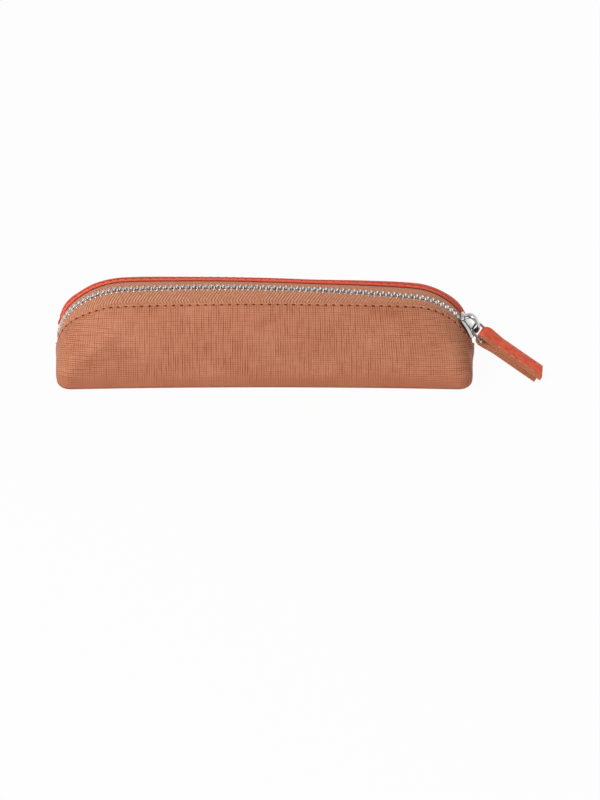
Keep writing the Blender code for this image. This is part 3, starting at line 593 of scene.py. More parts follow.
def lining_piece(name, side, material, node):
    """The cloth inside a panel, a thin sheet kept clear of the leather and of the zip tape."""
    stations = np.linspace(0, PATH_LENGTH, LINING_COLUMNS)
    face = panel_surface(stations, side, LINING_WALL_ROWS, LINING_BASE_ROWS)[LINING_TOP_ROW:]
    normal = surface_normals(face, side)
    depth = PANEL_THICKNESS + LINING_GAP
    sheets = []
    for d in (depth, depth + LINING_THICKNESS):
        sheet = face - normal * d
        sheet[..., 1] = np.where(side * face[..., 1] > 0,
                                 side * np.maximum(side * sheet[..., 1], END_SEAM_HALF_GAP),
                                 sheet[..., 1])
        sheet[..., 2] = np.maximum(sheet[..., 2], d)
        sheets.append(sheet)
    uv = flat_pattern(face, -1)
    obj = tube(name, np.concatenate([sheets[0], sheets[1][::-1]]), material,
               np.concatenate([uv, uv[::-1]]), sharp=60)
    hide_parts(node)
    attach(obj, "case")


def seam_stitches(name, side, material, stations, length, radius, inset, sink):
    """Threads along the panel's edge, each diving into the leather at both ends."""
    rows = wall_surface(stations, SEAM_WALL_SHARES, side)
    index = np.argmin(np.abs(depth_below(rows) - inset), axis=0)
    columns = np.arange(len(stations))
    place = rows[index, columns]
    ahead = wall_surface(stations + 0.5 * MM, SEAM_WALL_SHARES, side)[index, columns]
    along = unit_rows(ahead - place)
    falling = unit_rows(rows[index + 1, columns] - place)
    out = unit_rows(np.cross(along, falling) * side)
    out = out * np.sign(out[:, 2:] + 1e-9)
    across = np.cross(out, along)
    obj = copies(name, thread_unit(length, radius), place - out * sink,
                 np.stack([along, across, out], axis=1), material)
    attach(obj, "case")


def thread_unit(length, radius):
    """A short thread along local X, thick in the middle and bent down at its ends."""
    t = np.linspace(-1, 1, THREAD_STEPS)
    thick = radius * np.sqrt(np.clip(1.06 - t ** 6, 0.02, 1))
    angle = (np.arange(THREAD_ROUNDS) + 0.5) / THREAD_ROUNDS * 2 * math.pi
    x = np.broadcast_to(t * length / 2, (THREAD_ROUNDS, THREAD_STEPS))
    y = np.cos(angle)[:, None] * thick
    z = np.sin(angle)[:, None] * thick - radius * 1.1 * np.abs(t) ** 3
    return np.stack([x, y, z], axis=-1)


# The zip

def tape_piece(name, side, material, node):
    """A woven tape: a corded edge between the teeth's legs, then a flat run to the panel."""
    stations = np.linspace(TAPE_END, PATH_LENGTH - TAPE_END, TAPE_COLUMNS)
    place, _, out = path_frame(stations)
    across = np.array([0, side, 0])
    width = opening_half_width(stations, side)[:, None]
    depth = PANEL_THICKNESS + TAPE_GAP + TAPE_THICKNESS / 2
    wall = wall_surface(stations, (0, 0.02, 0.16), side)
    hidden = wall - surface_normals(wall, side) * depth
    hidden[..., 1] = side * np.maximum(side * hidden[..., 1], END_SEAM_HALF_GAP)
    tuck = passed(TAPE_FLAT * TAPE_CLOSE - width, TAPE_FLAT)
    core = place - out * (TOOTH_HEIGHT / 2 + depth * tuck)
    flat = np.minimum(TAPE_FLAT, width * TAPE_FLAT_SHARE)
    level = core + across * flat
    crown = out * TAPE_CROWN * width / OPENING_HALF_WIDTH
    cord = np.linspace(1, 0, 6)[:-1]
    rows = [core + across * (np.minimum(TAPE_EDGE, flat / 2) * share + flat * (1 - share))
            for share in cord]
    for share in np.linspace(0, 1, 15):
        bow = 4 * share * (1 - share)
        rows.append(level * (1 - share) + hidden[0] * share + crown * bow)
    middle = np.array([*rows, hidden[2]])
    half = np.full((len(middle), 1, 1), TAPE_THICKNESS / 2)
    half[:len(cord), 0, 0] += cord ** 2 * TAPE_CORD
    normal = surface_normals(middle, side)
    v = depth_below(middle)
    uv = plane_line(stations, v)
    grid = np.concatenate([middle + normal * half, (middle - normal * half)[::-1]])
    obj = tube(name, grid, material, np.concatenate([uv, uv[::-1]]), sharp=50)
    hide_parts(node)
    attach(obj, "case")


def tooth_unit():
    """One clamped tooth: sections from its head, over a waist, to the ends of its legs.

    Local X is along the chain, Y away from the middle and Z out of the case. Each section is
    a rectangle with cut corners.
    """
    places, w, tops = np.array(TOOTH_SECTIONS).T * MM
    h, cut = TOOTH_HEIGHT / 2 - tops, TOOTH_CORNER
    x = np.array([-w, -w + cut, w - cut, w, w, w - cut, -w + cut, -w])
    z = np.array([h - cut, h, h, h - cut, -h + cut, -h, -h, -h + cut]) - TOOTH_HEIGHT / 2
    return np.stack([x, np.broadcast_to(places, x.shape), z], axis=-1)


def teeth_piece(name, side, material):
    """The teeth of one tape, half a pitch from those of the other."""
    first = CHAIN_START + (CHAIN_PITCH / 2 if side > 0 else 0)
    last = SLIDER_STATION + CHAIN_PAST_SLIDER
    stations = first + CHAIN_PITCH * np.arange(int((last - first) / CHAIN_PITCH) + 1)
    place, along, out = path_frame(stations)
    lean = FRONT_TOOTH_LEAN if side < 0 else BACK_TOOTH_LEAN
    level = np.array([0.0, side, 0.0])
    across = level * math.cos(lean) - out * math.sin(lean)
    upward = out * math.cos(lean) + level * math.sin(lean)
    axes = np.stack([along, across, upward], axis=1)
    obj = copies(name, tooth_unit(), place, axes, material, sharp=50)
    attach(obj, "case")


def rounded_outline(half_x, half_z, round_by, steps=4):
    """Closed rectangle outline with round corners, as an array of points."""
    points = []
    for cx, cz, start in ((1, 1, 0), (-1, 1, 90), (-1, -1, 180), (1, -1, 270)):
        for angle in np.radians(start + np.linspace(0, 90, steps)):
            points.append((cx * (half_x - round_by) + round_by * math.cos(angle),
                           cz * (half_z - round_by) + round_by * math.sin(angle)))
    return np.array(points)


# The slider, bent to the shoulder's arc

JOINTS = {joint["name"]: joint for joint in frame["record"]["behaviour"]["joints"]}
SHOULDER_CENTRE = np.array(JOINTS["slider_travel"]["pos_m"], float)
LINK_PIVOT = np.array(JOINTS["link_swing"]["pos_m"], float)
STRAP_PIVOT = np.array(JOINTS["strap_swing"]["pos_m"], float)


def bent(t, y, n):
    """Points at t along the arc from the slider's middle, y across and n out of the case."""
    angle = -SLIDER_HEADING + t / SHOULDER_RADIUS
    r = SHOULDER_RADIUS + n
    t, y, n = np.broadcast_arrays(t, y, n)
    return SHOULDER_CENTRE + np.stack([r * np.sin(angle), y, r * np.cos(angle)], axis=-1)


def slider_plate(name, upper, materials):
    """A plate with turned-in rims: each section is an outline across the chain."""
    place = np.concatenate([[-0.5], np.linspace(-0.497, 0.497, 40), [0.5]])
    share = smooth_interp(place, SLIDER_PLACE_SHARES, SLIDER_WIDTH_SHARES)
    ease = np.sqrt(1 - (1 - passed(0.5 - np.abs(place), 0.06)) ** 2)
    thick, drop, room, dome = UPPER_PLATE if upper else LOWER_PLATE
    wide = SLIDER_HALF_WIDTH * share - (1 - ease) * 0.5 * MM
    least = TOOTH_HEIGHT / 2 + SLIDER_CLEARANCE
    tail = passed(-place, 0.5)
    rise = least + room * tail
    rim = least - drop * (1 - tail)
    top = least + thick * (0.35 + 0.65 * ease)
    inner = np.minimum(SLIDER_CHANNEL + np.maximum(place, 0) * MM, wide - RIM_WIDTH)
    corner = [(wide - PLATE_ROUND * (1 - math.cos(turn)), top - PLATE_ROUND * (1 - math.sin(turn)))
              for turn in np.radians((0, 22, 45, 68, 90))]
    right = [(inner * 0, rise), (inner, rise), (inner, rim), (wide - RIM_CUT, rim),
             (wide, rim + RIM_CUT), *corner]
    left = [(-y, n) for y, n in right[:0:-1]]
    outline = np.array([*right, (inner * 0, top + dome * ease), *left])
    y, n = outline[:, 0], outline[:, 1] * (1 if upper else -1)
    grid = bent(place * SLIDER_LENGTH, y, n - TOOTH_HEIGHT / 2)
    # Channel faces take the second look, the painted shade
    rounds = shell_faces(*grid.shape[:2], False)[:, 0] // len(place)
    return tube(name, grid, materials, sharp=35, kinds=np.isin(rounds, CHANNEL_ROUNDS))


def slider_wedge(name, material):
    """The post between the plates, lens-shaped in plan."""
    turn = np.linspace(0, 2 * math.pi, 24, endpoint=False)[:, None]
    t = POST_PLACE + POST_HALF_LENGTH * np.cos(turn)
    half_height = TOOTH_HEIGHT / 2 + SLIDER_CLEARANCE + POST_ROOT
    n = np.linspace(-1, 1, 4) * half_height - TOOTH_HEIGHT / 2
    return tube(name, bent(t, POST_HALF_WIDTH * np.sin(turn), n[None, :]), material, sharp=50)


def slider_axes():
    """The slider's own axes: along, across and out, as rows."""
    c, s = math.cos(SLIDER_HEADING), math.sin(SLIDER_HEADING)
    return np.array([[c, 0, s], [0, 1, 0], [-s, 0, c]])


def bridge_piece(name, materials):
    """The arch over the slider: a rounded band along a superellipse, with broad feet."""
    turn = np.linspace(0, math.pi, 49)
    half = (BRIDGE_LENGTH - BRIDGE_BAND) / 2
    height = BRIDGE_HEIGHT - BRIDGE_BAND / 2
    line = plane_line(squared_off(np.cos(turn), BRIDGE_LINE_SQUARENESS) * half,
                      squared_off(np.sin(turn), BRIDGE_LINE_SQUARENESS) * height)
    step = unit_rows(np.gradient(line, axis=0))
    step[0], step[-1] = (0, 1), (0, -1)
    round_by = np.linspace(0, 2 * math.pi, 28, endpoint=False)
    circle = plane_line(np.cos(round_by), np.sin(round_by))
    outline = squared_off(circle, BRIDGE_BAND_SQUARENESS)
    outline = outline * (BRIDGE_FOOT_WIDTH / 2, BRIDGE_BAND / 2)
    band = swept(line, step, outline)
    foot = SLIDER_CLEARANCE + SLIDER_UPPER_PLATE
    broader = (BRIDGE_CROWN_WIDTH - BRIDGE_FOOT_WIDTH) / 2 * np.sin(turn) ** 1.5
    across = outline[:, :1] * (1 + broader / (BRIDGE_FOOT_WIDTH / 2))
    local = np.stack([band[..., 0] + BRIDGE_SHIFT, across, band[..., 1] + foot], axis=-1)
    # The band's inside takes the second look, the painted shade
    rounds = shell_faces(*local.shape[:2], False)[:, 0] // len(line)
    return tube(name, bent(0, 0, 0) + local @ slider_axes(), materials, sharp=50,
                kinds=np.isin(rounds, BRIDGE_INSIDE_ROUNDS))


# The pull

def pull_axes(drop):
    """Axes of the link or the strap as rows: down its length, across it and off its face."""
    cy, sy = math.cos(PULL_YAW), math.sin(PULL_YAW)
    ahead = np.array([cy, -sy, 0]) * math.cos(drop) - np.array([0, 0, math.sin(drop)])
    across = np.array([sy, cy, 0])
    return np.array([ahead, across, np.cross(ahead, across)])


def link_piece(name, material):
    """The wire link: a round wire along a closed loop with curved corners."""
    corners = np.array([(0, -LINK_TOP_HALF_WIDTH), (LINK_LENGTH, -LINK_LOW_HALF_WIDTH),
                        (LINK_LENGTH, LINK_LOW_HALF_WIDTH), (0, LINK_TOP_HALF_WIDTH)])
    line = []
    for i, corner in enumerate(corners):
        before = unit_rows(corners[i - 1] - corner) * LINK_CORNER_RADIUS
        after = unit_rows(corners[(i + 1) % 4] - corner) * LINK_CORNER_RADIUS
        for t in np.linspace(0, 1, 9):
            line.append(corner + before * (1 - t) ** 2 + after * t * t)
    line = np.array(line)
    step = unit_rows(np.roll(line, -1, axis=0) - np.roll(line, 1, axis=0))
    side = np.stack([-step[:, 1], step[:, 0]], axis=-1)
    angle = np.linspace(0, 2 * math.pi, 20, endpoint=False)[:, None]
    flat = line[None] + side[None] * (np.cos(angle) * LINK_WIRE_RADIUS)[..., None]
    up = np.broadcast_to(np.sin(angle) * LINK_WIRE_RADIUS, flat.shape[:2])
    local = np.concatenate([flat, up[..., None]], axis=-1)
    return tube(name, LINK_PIVOT + local @ pull_axes(LINK_DROP), material, ring=True)


def strap_line(depth_out):
    """Middle line of one strap layer: out along the lower leg, round the bar and back."""
    loop = LINK_WIRE_RADIUS + STRAP_LOOP_GAP + depth_out - STRAP_LAYER_GAP / 2
    x = STRAP_NECK * np.linspace(1, 0, 24)
    blend = 1 - x / STRAP_NECK
    z = depth_out + (loop - depth_out) * blend * blend * (3 - 2 * blend)
    angle = np.linspace(0, math.pi, 26)[1:-1]
    end = STRAP_LENGTH - STRAP_LOWER_SHORTER
    return np.concatenate([plane_line(np.linspace(STRAP_LENGTH, STRAP_NECK, 40)[:-1], depth_out),
                           plane_line(x, z),
                           plane_line(-loop * np.sin(angle), loop * np.cos(angle)),
                           plane_line(x[::-1], -z[::-1]),
                           plane_line(np.linspace(STRAP_NECK, end, 40)[1:], -depth_out)])


def strap_layer(name, depth_out, skin, materials, node):
    """One folded layer of leather with cut edges: a rounded oblong section along its line."""
    line = strap_line(depth_out)
    outline = rounded_outline(STRAP_WIDTH / 2, skin / 2, STRAP_EDGE_ROUND)
    across = np.broadcast_to(outline[:, :1], (len(outline), len(line)))
    near_end = passed(line[:, 0] - STRAP_LENGTH + STRAP_END_LEAD, STRAP_END_LEAD)
    slant = -across / (STRAP_WIDTH / 2) * STRAP_END_SLANT * near_end
    sheet = swept(line, unit_rows(np.gradient(line, axis=0)), outline)
    local = np.stack([sheet[..., 0] + slant, across, sheet[..., 1]], axis=-1)
    run = np.concatenate([[0], np.cumsum(np.linalg.norm(np.diff(line, axis=0), axis=-1))])
    uv = plane_line(run, across)
    faces = shell_faces(*local.shape[:2], False)
    rounds, steps = faces[:, 0] // len(line), faces[:, 0] % len(line)
    kinds = np.where(np.isin(rounds, STRAP_FACE_ROUNDS), 0, 1)
    # The far corners, and the near corners of the lower half, take the dark third look: painted
    # shade
    near_lower = np.isin(rounds, STRAP_NEAR_ROUNDS) & (steps > len(line) / 2)
    kinds[np.isin(rounds, STRAP_FAR_ROUNDS) | near_lower] = 2
    obj = tube(name, STRAP_PIVOT + local @ pull_axes(STRAP_DROP), materials, uv, kinds=kinds,
               lip=np.zeros_like(uv))
    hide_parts(node)
    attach(obj, "strap")


def strap_stitches(name, surface, material):
    """Short threads along both long edges of the strap, on its upper and lower face."""
    places, axes = [], []
    for face, length in ((1, STRAP_LENGTH), (-1, STRAP_LENGTH - STRAP_LOWER_SHORTER)):
        xs = np.arange(STRAP_NECK, length - STRAP_STITCH_MARGIN, STRAP_STITCH_PITCH)
        for edge, inset in STRAP_STITCH_INSETS.items():
            for x in xs:
                places.append((x, edge * (STRAP_WIDTH / 2 - inset),
                               face * (surface - STRAP_STITCH_SINK)))
                axes.append(((1, 0, 0), (0, face, 0), (0, 0, face)))
    turn = pull_axes(STRAP_DROP)
    obj = copies(name, thread_unit(STRAP_STITCH_LENGTH, STRAP_STITCH_RADIUS),
                 STRAP_PIVOT + np.array(places) @ turn, np.array(axes, float) @ turn, material)
    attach(obj, "strap")


# Materials

class Value:
    """A number in a node tree. Arithmetic on it adds Math nodes."""

    def __init__(self, nodes, socket):
        self.nodes = nodes
        self.socket = socket

    def __abs__(self):
        return self.nodes.math("ABSOLUTE", self)

    def __add__(self, other):
        return self.nodes.math("ADD", self, other)

    def __sub__(self, other):
        return self.nodes.math("SUBTRACT", self, other)

    def __mul__(self, other):
        return self.nodes.math("MULTIPLY", self, other)

    def __truediv__(self, other):
        return self.nodes.math("DIVIDE", self, other)

    def __pow__(self, other):
        return self.nodes.math("POWER", self, other)


class Nodes:
    """Small helper that adds nodes to a tree and links them."""

    def __init__(self, tree):
        self.tree = tree

    def connect(self, socket, value):
        """Give a socket a number or colour, or link another node's output to it."""
        value = getattr(value, "socket", value)
        if isinstance(value, bpy.types.NodeSocket):
            self.tree.links.new(value, socket)
        else:
            socket.default_value = value

    def add(self, kind, *inputs, out=0, **settings):
        """Add a node, set its settings and first inputs, and hand back one of its outputs."""
        made = self.tree.nodes.new(kind)
        for key, value in settings.items():
            setattr(made, key, value)
        for socket, value in zip(made.inputs, inputs):
            self.connect(socket, value)
        return Value(self, made.outputs[out]) if made.outputs else None

    def math(self, operation, *inputs):
        return self.add("ShaderNodeMath", *inputs, operation=operation)

    def most(self, first, *others):
        """The greatest of several numbers."""
        for other in others:
            first = self.math("MAXIMUM", first, other)
        return first

    def wave(self, phase):
        """Sine of a phase, from 0 to 1."""
        return self.math("SINE", phase) * 0.5 + 0.5

    def noise(self, vector, detail=2.0, scale=1.0):
        return self.add("ShaderNodeTexNoise", vector, 0.0, scale, detail)

    def scaled(self, vector, *scale):
        return self.add("ShaderNodeVectorMath", vector, scale, operation="MULTIPLY")

    def parts(self, vector):
        """The three numbers of a vector."""
        made = self.add("ShaderNodeSeparateXYZ", vector).socket.node
        return [Value(self, socket) for socket in made.outputs]

    def ramp(self, value, low, high):
        """Value taken from low..high to 0..1, with a soft start and end."""
        return self.add("ShaderNodeMapRange", value, low, high, interpolation_type="SMOOTHSTEP")

    def colours(self, value, *stops):
        """Colour ramp of (position, colour) stops, each a screen colour or a linear one."""
        made = self.add("ShaderNodeValToRGB", value)
        ramp = made.socket.node.color_ramp
        while len(ramp.elements) < len(stops):
            ramp.elements.new(0.5)
        for element, (place, colour) in zip(ramp.elements, stops):
            element.position = place
            element.color = (*(srgb(colour) if isinstance(colour, str) else colour), 1)
        return made

    def place(self, group, given):
        """Place a node group, give its named inputs, and hand back its outputs by name."""
        made = self.tree.nodes.new("ShaderNodeGroup")
        made.node_tree = group
        for title, value in given.items():
            self.connect(made.inputs[title], value)
        return {socket.name: Value(self, socket) for socket in made.outputs}

    def seen_by(self, *kinds):
        """1 for rays of the given kinds, 0 for others."""
        rays = self.add("ShaderNodeLightPath").socket.node.outputs
        return self.most(*(rays["Is %s Ray" % kind] for kind in kinds))


class Look(Nodes):
    """A material with a Principled shader."""

    def __init__(self, name):
        self.material = bpy.data.materials.new(name)
        self.material.use_nodes = True
        super().__init__(self.material.node_tree)
        self.shader = self.tree.nodes["Principled BSDF"]

    def uv(self, title):
        """One of the pieces' two UV maps, "cloth" or "lip"."""
        return self.add("ShaderNodeUVMap", uv_map=title)

    def finish(self, colour, height, distance, strength, roughness):
        """Link or set colour and roughness, and link the bump to the shader."""
        self.connect(self.shader.inputs["Base Color"], colour)
        self.connect(self.shader.inputs["Roughness"], roughness)
        bump = self.tree.nodes.new("ShaderNodeBump")
        for title, value in (("Strength", strength), ("Distance", distance), ("Height", height)):
            self.connect(bump.inputs[title], value)
        self.connect(self.shader.inputs["Normal"], bump.outputs[0])
        return self.material


class Group(Nodes):
    """A shader node group with named inputs and outputs, built once for several materials."""

    def __init__(self, name, inputs, outputs):
        super().__init__(bpy.data.node_groups.new(name, "ShaderNodeTree"))
        kinds = {"VECTOR": "NodeSocketVector", "FLOAT": "NodeSocketFloat"}
        for title, kind in inputs.items():
            self.tree.interface.new_socket(title, in_out="INPUT", socket_type=kinds[kind])
        for title in outputs:
            self.tree.interface.new_socket(title, in_out="OUTPUT", socket_type=kinds["FLOAT"])
        given = self.tree.nodes.new("NodeGroupInput").outputs
        self.given = {title: Value(self, given[title]) for title in inputs}
        self.result = self.tree.nodes.new("NodeGroupOutput").inputs

    def give(self, title, value):
        self.connect(self.result[title], value)


# A height on the case above the low band, for leather that isn't on the case
PLAIN_HEIGHT = 20 * MM
# Heights where the grooves fade in and the low band's painted shade lifts, then the fold's painted
# shade
LOW_BAND = (4 * MM, 10 * MM)
FOLD_SHADE = (0.2 * MM, 2.4 * MM)
# Distances along the case over which its upright grooves weaken, and along the tape its weave
PLAIN_ENDS = (50 * MM, 88 * MM)
PLAIN_TAPE = (130 * MM, 170 * MM)
# Slubs: width, length, seed and detail. The two ways of grooves: pitch, length and seed
SLUBS = (0.55 * MM, 10 * MM, 11.0, 1.0)
UPRIGHT_GROOVES = (1.13 * MM, 10 * MM, 1.0)
LEVEL_GROOVES = (1.0 * MM, 11 * MM, 4.0)
YARN_PITCH = 1.45 * MM
RIB_WIDTH = 6.2 * MM
RIB_START = 1.7 * MM
LINING_PITCH = 0.6 * MM
STRAND_WIDTH = 0.4 * MM

# Leather stops: a groove's bottom is painted shade; the top end takes the painted highlights
TAN_STOPS = ((0, "7A2E14"), (0.45, "A8593A"), (0.8, "CC8260"), (1, "E0A07E"))
CORAL_STOPS = ((0, "9C2210"), (0.5, "D83A1E"), (0.8, "EE4C30"), (1, "F57056"))
STRAP_CORAL_STOPS = ((0, "A02008"), (0.45, "D63812"), (0.8, "F04A20"), (1, "FF6C44"))
CUT_EDGE_STOPS = ((0, "6E2E18"), (0.5, "96522F"), (0.85, "B66C4A"), (1, "CA8664"))
# Dark edge of the strap: painted shade on its rounded far edge and the lower half's near edge
STRAP_EDGE_SHADE_STOPS = ((0, "3C1408"), (1, "8A4630"))
TAPE_STOPS = ((0.1, "86442A"), (0.55, "C67A56"), (1.0, "F6BC98"))
LINING_STOPS = ((0, "6E4232"), (1, "96604A"))
# Each leather's stops, roughness, depth of lines, whether it is on the strap, and its clouding
LEATHERS = {
    "tan_leather_look": (TAN_STOPS, 0.55),
    "coral_leather_look": (CORAL_STOPS, 0.52, 0.5),
    "strap_coral_look": (STRAP_CORAL_STOPS, 0.6, 0.12, True, (0.8, 240)),
    "strap_tan_look": (TAN_STOPS, 0.6, 0.4, True),
    "cut_edge_look": (CUT_EDGE_STOPS, 0.7, 0.3, True),
    "cut_line_look": (STRAP_EDGE_SHADE_STOPS, 0.7, 0.3, True),
}
# Each thread's colour and the painted shade between its strands; hole looks paint the holes' shade
THREADS = {
    "seam_thread_look": ("EE9E74", "C87650"),
    "coral_thread_look": ("EE5A40", "C03A22"),
    "needle_hole_look": ("8E3418", "64200E"),
    "coral_hole_look": ("A02412", "701408"),
    "strap_thread_look": ("FFC8AC", "E09C7E"),
}
# Each metal's bright and dull tone, least roughness and bump
METALS = {
    "nickel_look": ((0.74, 0.74, 0.73), (0.50, 0.50, 0.49), 0.10, 0.02 * MM),
    # The lower plate is a darker copy of the nickel: painted shade under the upper plate
    "lower_plate_look": ((0.40, 0.40, 0.39), (0.26, 0.26, 0.25), 0.2, 0.02 * MM),
    "wire_look": ((0.86, 0.85, 0.84), (0.74, 0.73, 0.72), 0.24, 0.006 * MM),
    # Near-black metal for the channel, the post and the bridge's inside: painted shade in these
    # recesses
    "channel_look": ((0.10, 0.10, 0.10), (0.05, 0.05, 0.05), 0.5, 0.01 * MM),
    "teeth_look": ((0.90, 0.89, 0.87), (0.82, 0.81, 0.79), 0.22, 0.004 * MM),
}


def srgb(text):
    """Linear colour of a hexadecimal screen colour."""
    values = np.array([int(text[i:i + 2], 16) for i in (0, 2, 4)]) / 255
    linear = np.where(values <= 0.04045, values / 12.92, ((values + 0.055) / 1.055) ** 2.4)
    return tuple(float(v) for v in linear)


def stretched(m, u, v, across, along, seed, detail=2.0):
    """Noise in cells of the given sizes across and along the lines."""
    return m.noise(m.add("ShaderNodeCombineXYZ", u * (1 / across), v * (1 / along), seed), detail)


def grooves(m, u, v, pitch, length, seed):
    """Embossed grooves along v, 0 to 1 deep, that come and go over their length."""
    wander = stretched(m, u, v, 9 * pitch, 30 * pitch, seed)
    wave = m.wave(u * (2 * math.pi / pitch) + wander * 6.0) ** 1.6
    patch = m.ramp(stretched(m, u, v, 1.2 * pitch, length, seed + 7.0, 1.0), 0.28, 0.72)
    region = m.ramp(stretched(m, u, v, 16 * pitch, 12 * pitch, seed + 3.0, 1.0), 0.25, 0.75)
    return wave * ((patch * 0.6 + 0.4) * (region * 0.3 + 0.7))


def linen_emboss():
    """Group for embossed leather: how deep its grooves are, its relief and the tone of its colour.

    Upright and level grooves and long slubs, the deepest of them at each point, fade in the low
    band of the case. The tone is darkened in the grooves as painted shade and a little lighter on
    raised pores as painted highlight. The low band is painted darker as shade, most of all on the
    fold at the bottom, and the lip of an edge is painted lighter as a highlight.
    """
    g = Group("linen_emboss", {"Cloth place": "VECTOR", "Height on case": "FLOAT", "Lip": "FLOAT",
                               "Lines": "FLOAT", "Clouding": "FLOAT", "Cloud scale": "FLOAT"},
              ("Cut", "Relief", "Tone"))
    uv, height, lip, lines, clouding, cloud_scale = g.given.values()
    u, v, _ = g.parts(uv)
    ends = g.ramp(abs(u), *PLAIN_ENDS)
    upright = grooves(g, u, v, *UPRIGHT_GROOVES) * (ends * -0.3 + 0.95)
    level = grooves(g, v, u, *LEVEL_GROOVES) * (ends * 0.3 + 0.62)
    slub = g.ramp(stretched(g, u, v, *SLUBS), 0.64, 0.84) * 0.7
    low = g.ramp(height, *LOW_BAND)
    fold = g.ramp(height, *FOLD_SHADE)
    cut = g.most(upright, level, slub) * (lines * (low * 0.75 + 0.25))
    pores = g.noise(g.scaled(uv, 2600, 2600, 1), 3.0)
    cloud = g.noise(g.scaled(uv, 1, 1.5, 1), 3.0, cloud_scale)
    # Tone: random clouding, lower in the grooves and in the low band as painted shade
    tone = (cloud - 0.5) * clouding + 0.88 - cut * 0.72 + (low * 0.22 - 0.22)
    g.give("Cut", cut)
    g.give("Relief", pores * 0.3 - cut)
    # Tone adds the lip's painted highlight, lighter raised pores and the fold's painted shade
    g.give("Tone", pores * 0.16 + (lip * 0.2 + (tone + (fold * 0.3 - 0.3))))
    return g.tree


def twisted_strand():
    """Group for sewing thread: 0 to 1 across each slanting strand of the given width."""
    g = Group("twisted_strand", {"Cloth place": "VECTOR", "Strand width": "FLOAT"}, ("Strand",))
    u, v, _ = g.parts(g.given["Cloth place"])
    g.give("Strand", g.wave((u + v * 0.8) / g.given["Strand width"] * (2 * math.pi)))
    return g.tree


def plating_unevenness():
    """Group for plated metal: broad cloudiness, a roughness that follows it, and fine marks."""
    g = Group("plating_unevenness", {"Place": "VECTOR", "Least roughness": "FLOAT"},
              ("Cloud", "Marks", "Roughness"))
    place = g.given["Place"]
    cloud = g.noise(g.scaled(place, 420, 420, 420), 3.0)
    g.give("Cloud", cloud)
    g.give("Marks", g.noise(g.scaled(place, 2400, 2400, 2400)))
    g.give("Roughness", cloud * 0.16 + g.given["Least roughness"])
    return g.tree


def leather(name, emboss, stops, roughness, lines=1.0, on_strap=False, clouding=(0.24, 38)):
    """Leather from the emboss group. Its colour ramp runs from a groove's bottom, in painted
    shade, to the plain top.

    Clouding is given as its strength and its scale. The strap has no low band.
    """
    m = Look(name)
    height = PLAIN_HEIGHT
    if not on_strap:
        height = m.parts(m.add("ShaderNodeTexCoord", out="Object"))[2]
    made = m.place(emboss, {"Cloth place": m.uv("cloth"), "Height on case": height,
                            "Lip": m.parts(m.uv("lip"))[0], "Lines": lines,
                            "Clouding": clouding[0], "Cloud scale": clouding[1]})
    m.shader.inputs["Specular IOR Level"].default_value = 0.3
    return m.finish(m.colours(made["Tone"], *stops), made["Relief"], 0.14 * MM, 0.9,
                    made["Cut"] * 0.15 + roughness)


def tape_cloth(name, stops):
    """Herringbone tape: slanting yarns that turn back at each rib. The colour follows their
    height:
    painted shade between the yarns and a painted highlight on their tops.
    """
    m = Look(name)
    uv = m.uv("cloth")
    u, v, _ = m.parts(uv)
    slant = u + m.math("PINGPONG", v - RIB_START, RIB_WIDTH) * 0.55
    fuzz = m.noise(m.scaled(uv, 300, 160, 1))
    yarn = m.wave(slant * (2 * math.pi / YARN_PITCH) + fuzz * 3.0)
    patch = m.ramp(m.noise(m.scaled(uv, 190, 260, 1)), 0.35, 0.6)
    patch = patch * (m.ramp(u, *PLAIN_TAPE) * -0.7 + 1.0)
    yarn = (yarn - 0.5) * (patch * 0.55 + 0.15) + 0.5
    height = yarn * 0.75 + m.noise(m.scaled(uv, 900, 500, 1), 3.0) * 0.5
    m.shader.inputs["Sheen Weight"].default_value = 0.1
    return m.finish(m.colours(height, *stops), height, 0.16 * MM, 0.9, 0.85)


def plain_cloth(name, stops):
    """Plain weave of the lining: the product of a wave along it and one across. The colour follows
    its height, with painted shade in the hollows of the weave.
    """
    m = Look(name)
    warp, weft = (m.math("SINE", part * (2 * math.pi / LINING_PITCH))
                  for part in m.parts(m.uv("cloth"))[:2])
    height = warp * weft * 0.5 + 0.5
    return m.finish(m.colours(height, *stops), height, 0.1 * MM, 0.7, 0.9)


def thread(name, strand, colour, dark):
    """Sewing thread from the strand group, with painted shade between its strands."""
    m = Look(name)
    made = m.place(strand, {"Cloth place": m.uv("cloth"), "Strand width": STRAND_WIDTH})
    return m.finish(m.colours(made["Strand"], (0, dark), (1, colour)), made["Strand"],
                    0.08 * MM, 0.8, 0.7)


def metal(name, plating, bright, dull, roughness, bump):
    """Plated metal from the plating group."""
    m = Look(name)
    made = m.place(plating, {"Place": m.add("ShaderNodeTexCoord", out="Object"),
                             "Least roughness": roughness})
    m.shader.inputs["Metallic"].default_value = 1
    colour = m.colours(made["Cloud"], (0.3, dull), (0.7, bright))
    return m.finish(colour, made["Marks"], bump, 0.5, made["Roughness"])


def floor_material(name, tone):
    """Pale floor: the camera sees it nearly white, with the object's soft shadow."""
    m = Look(name)
    m.shader.inputs["Base Color"].default_value = (tone, tone, tone, 1)
    m.shader.inputs["Roughness"].default_value = 0.9
    glow = m.add("ShaderNodeEmission", (1, 1, 1, 1), 1.0)
    share = m.seen_by("Camera", "Glossy", "Transmission") * FLOOR_GLOW
    blend = m.add("ShaderNodeMixShader", share, m.shader.outputs[0], glow)
    m.connect(m.tree.nodes["Material Output"].inputs["Surface"], blend)
    return m.material


# Stage: floor, light and camera

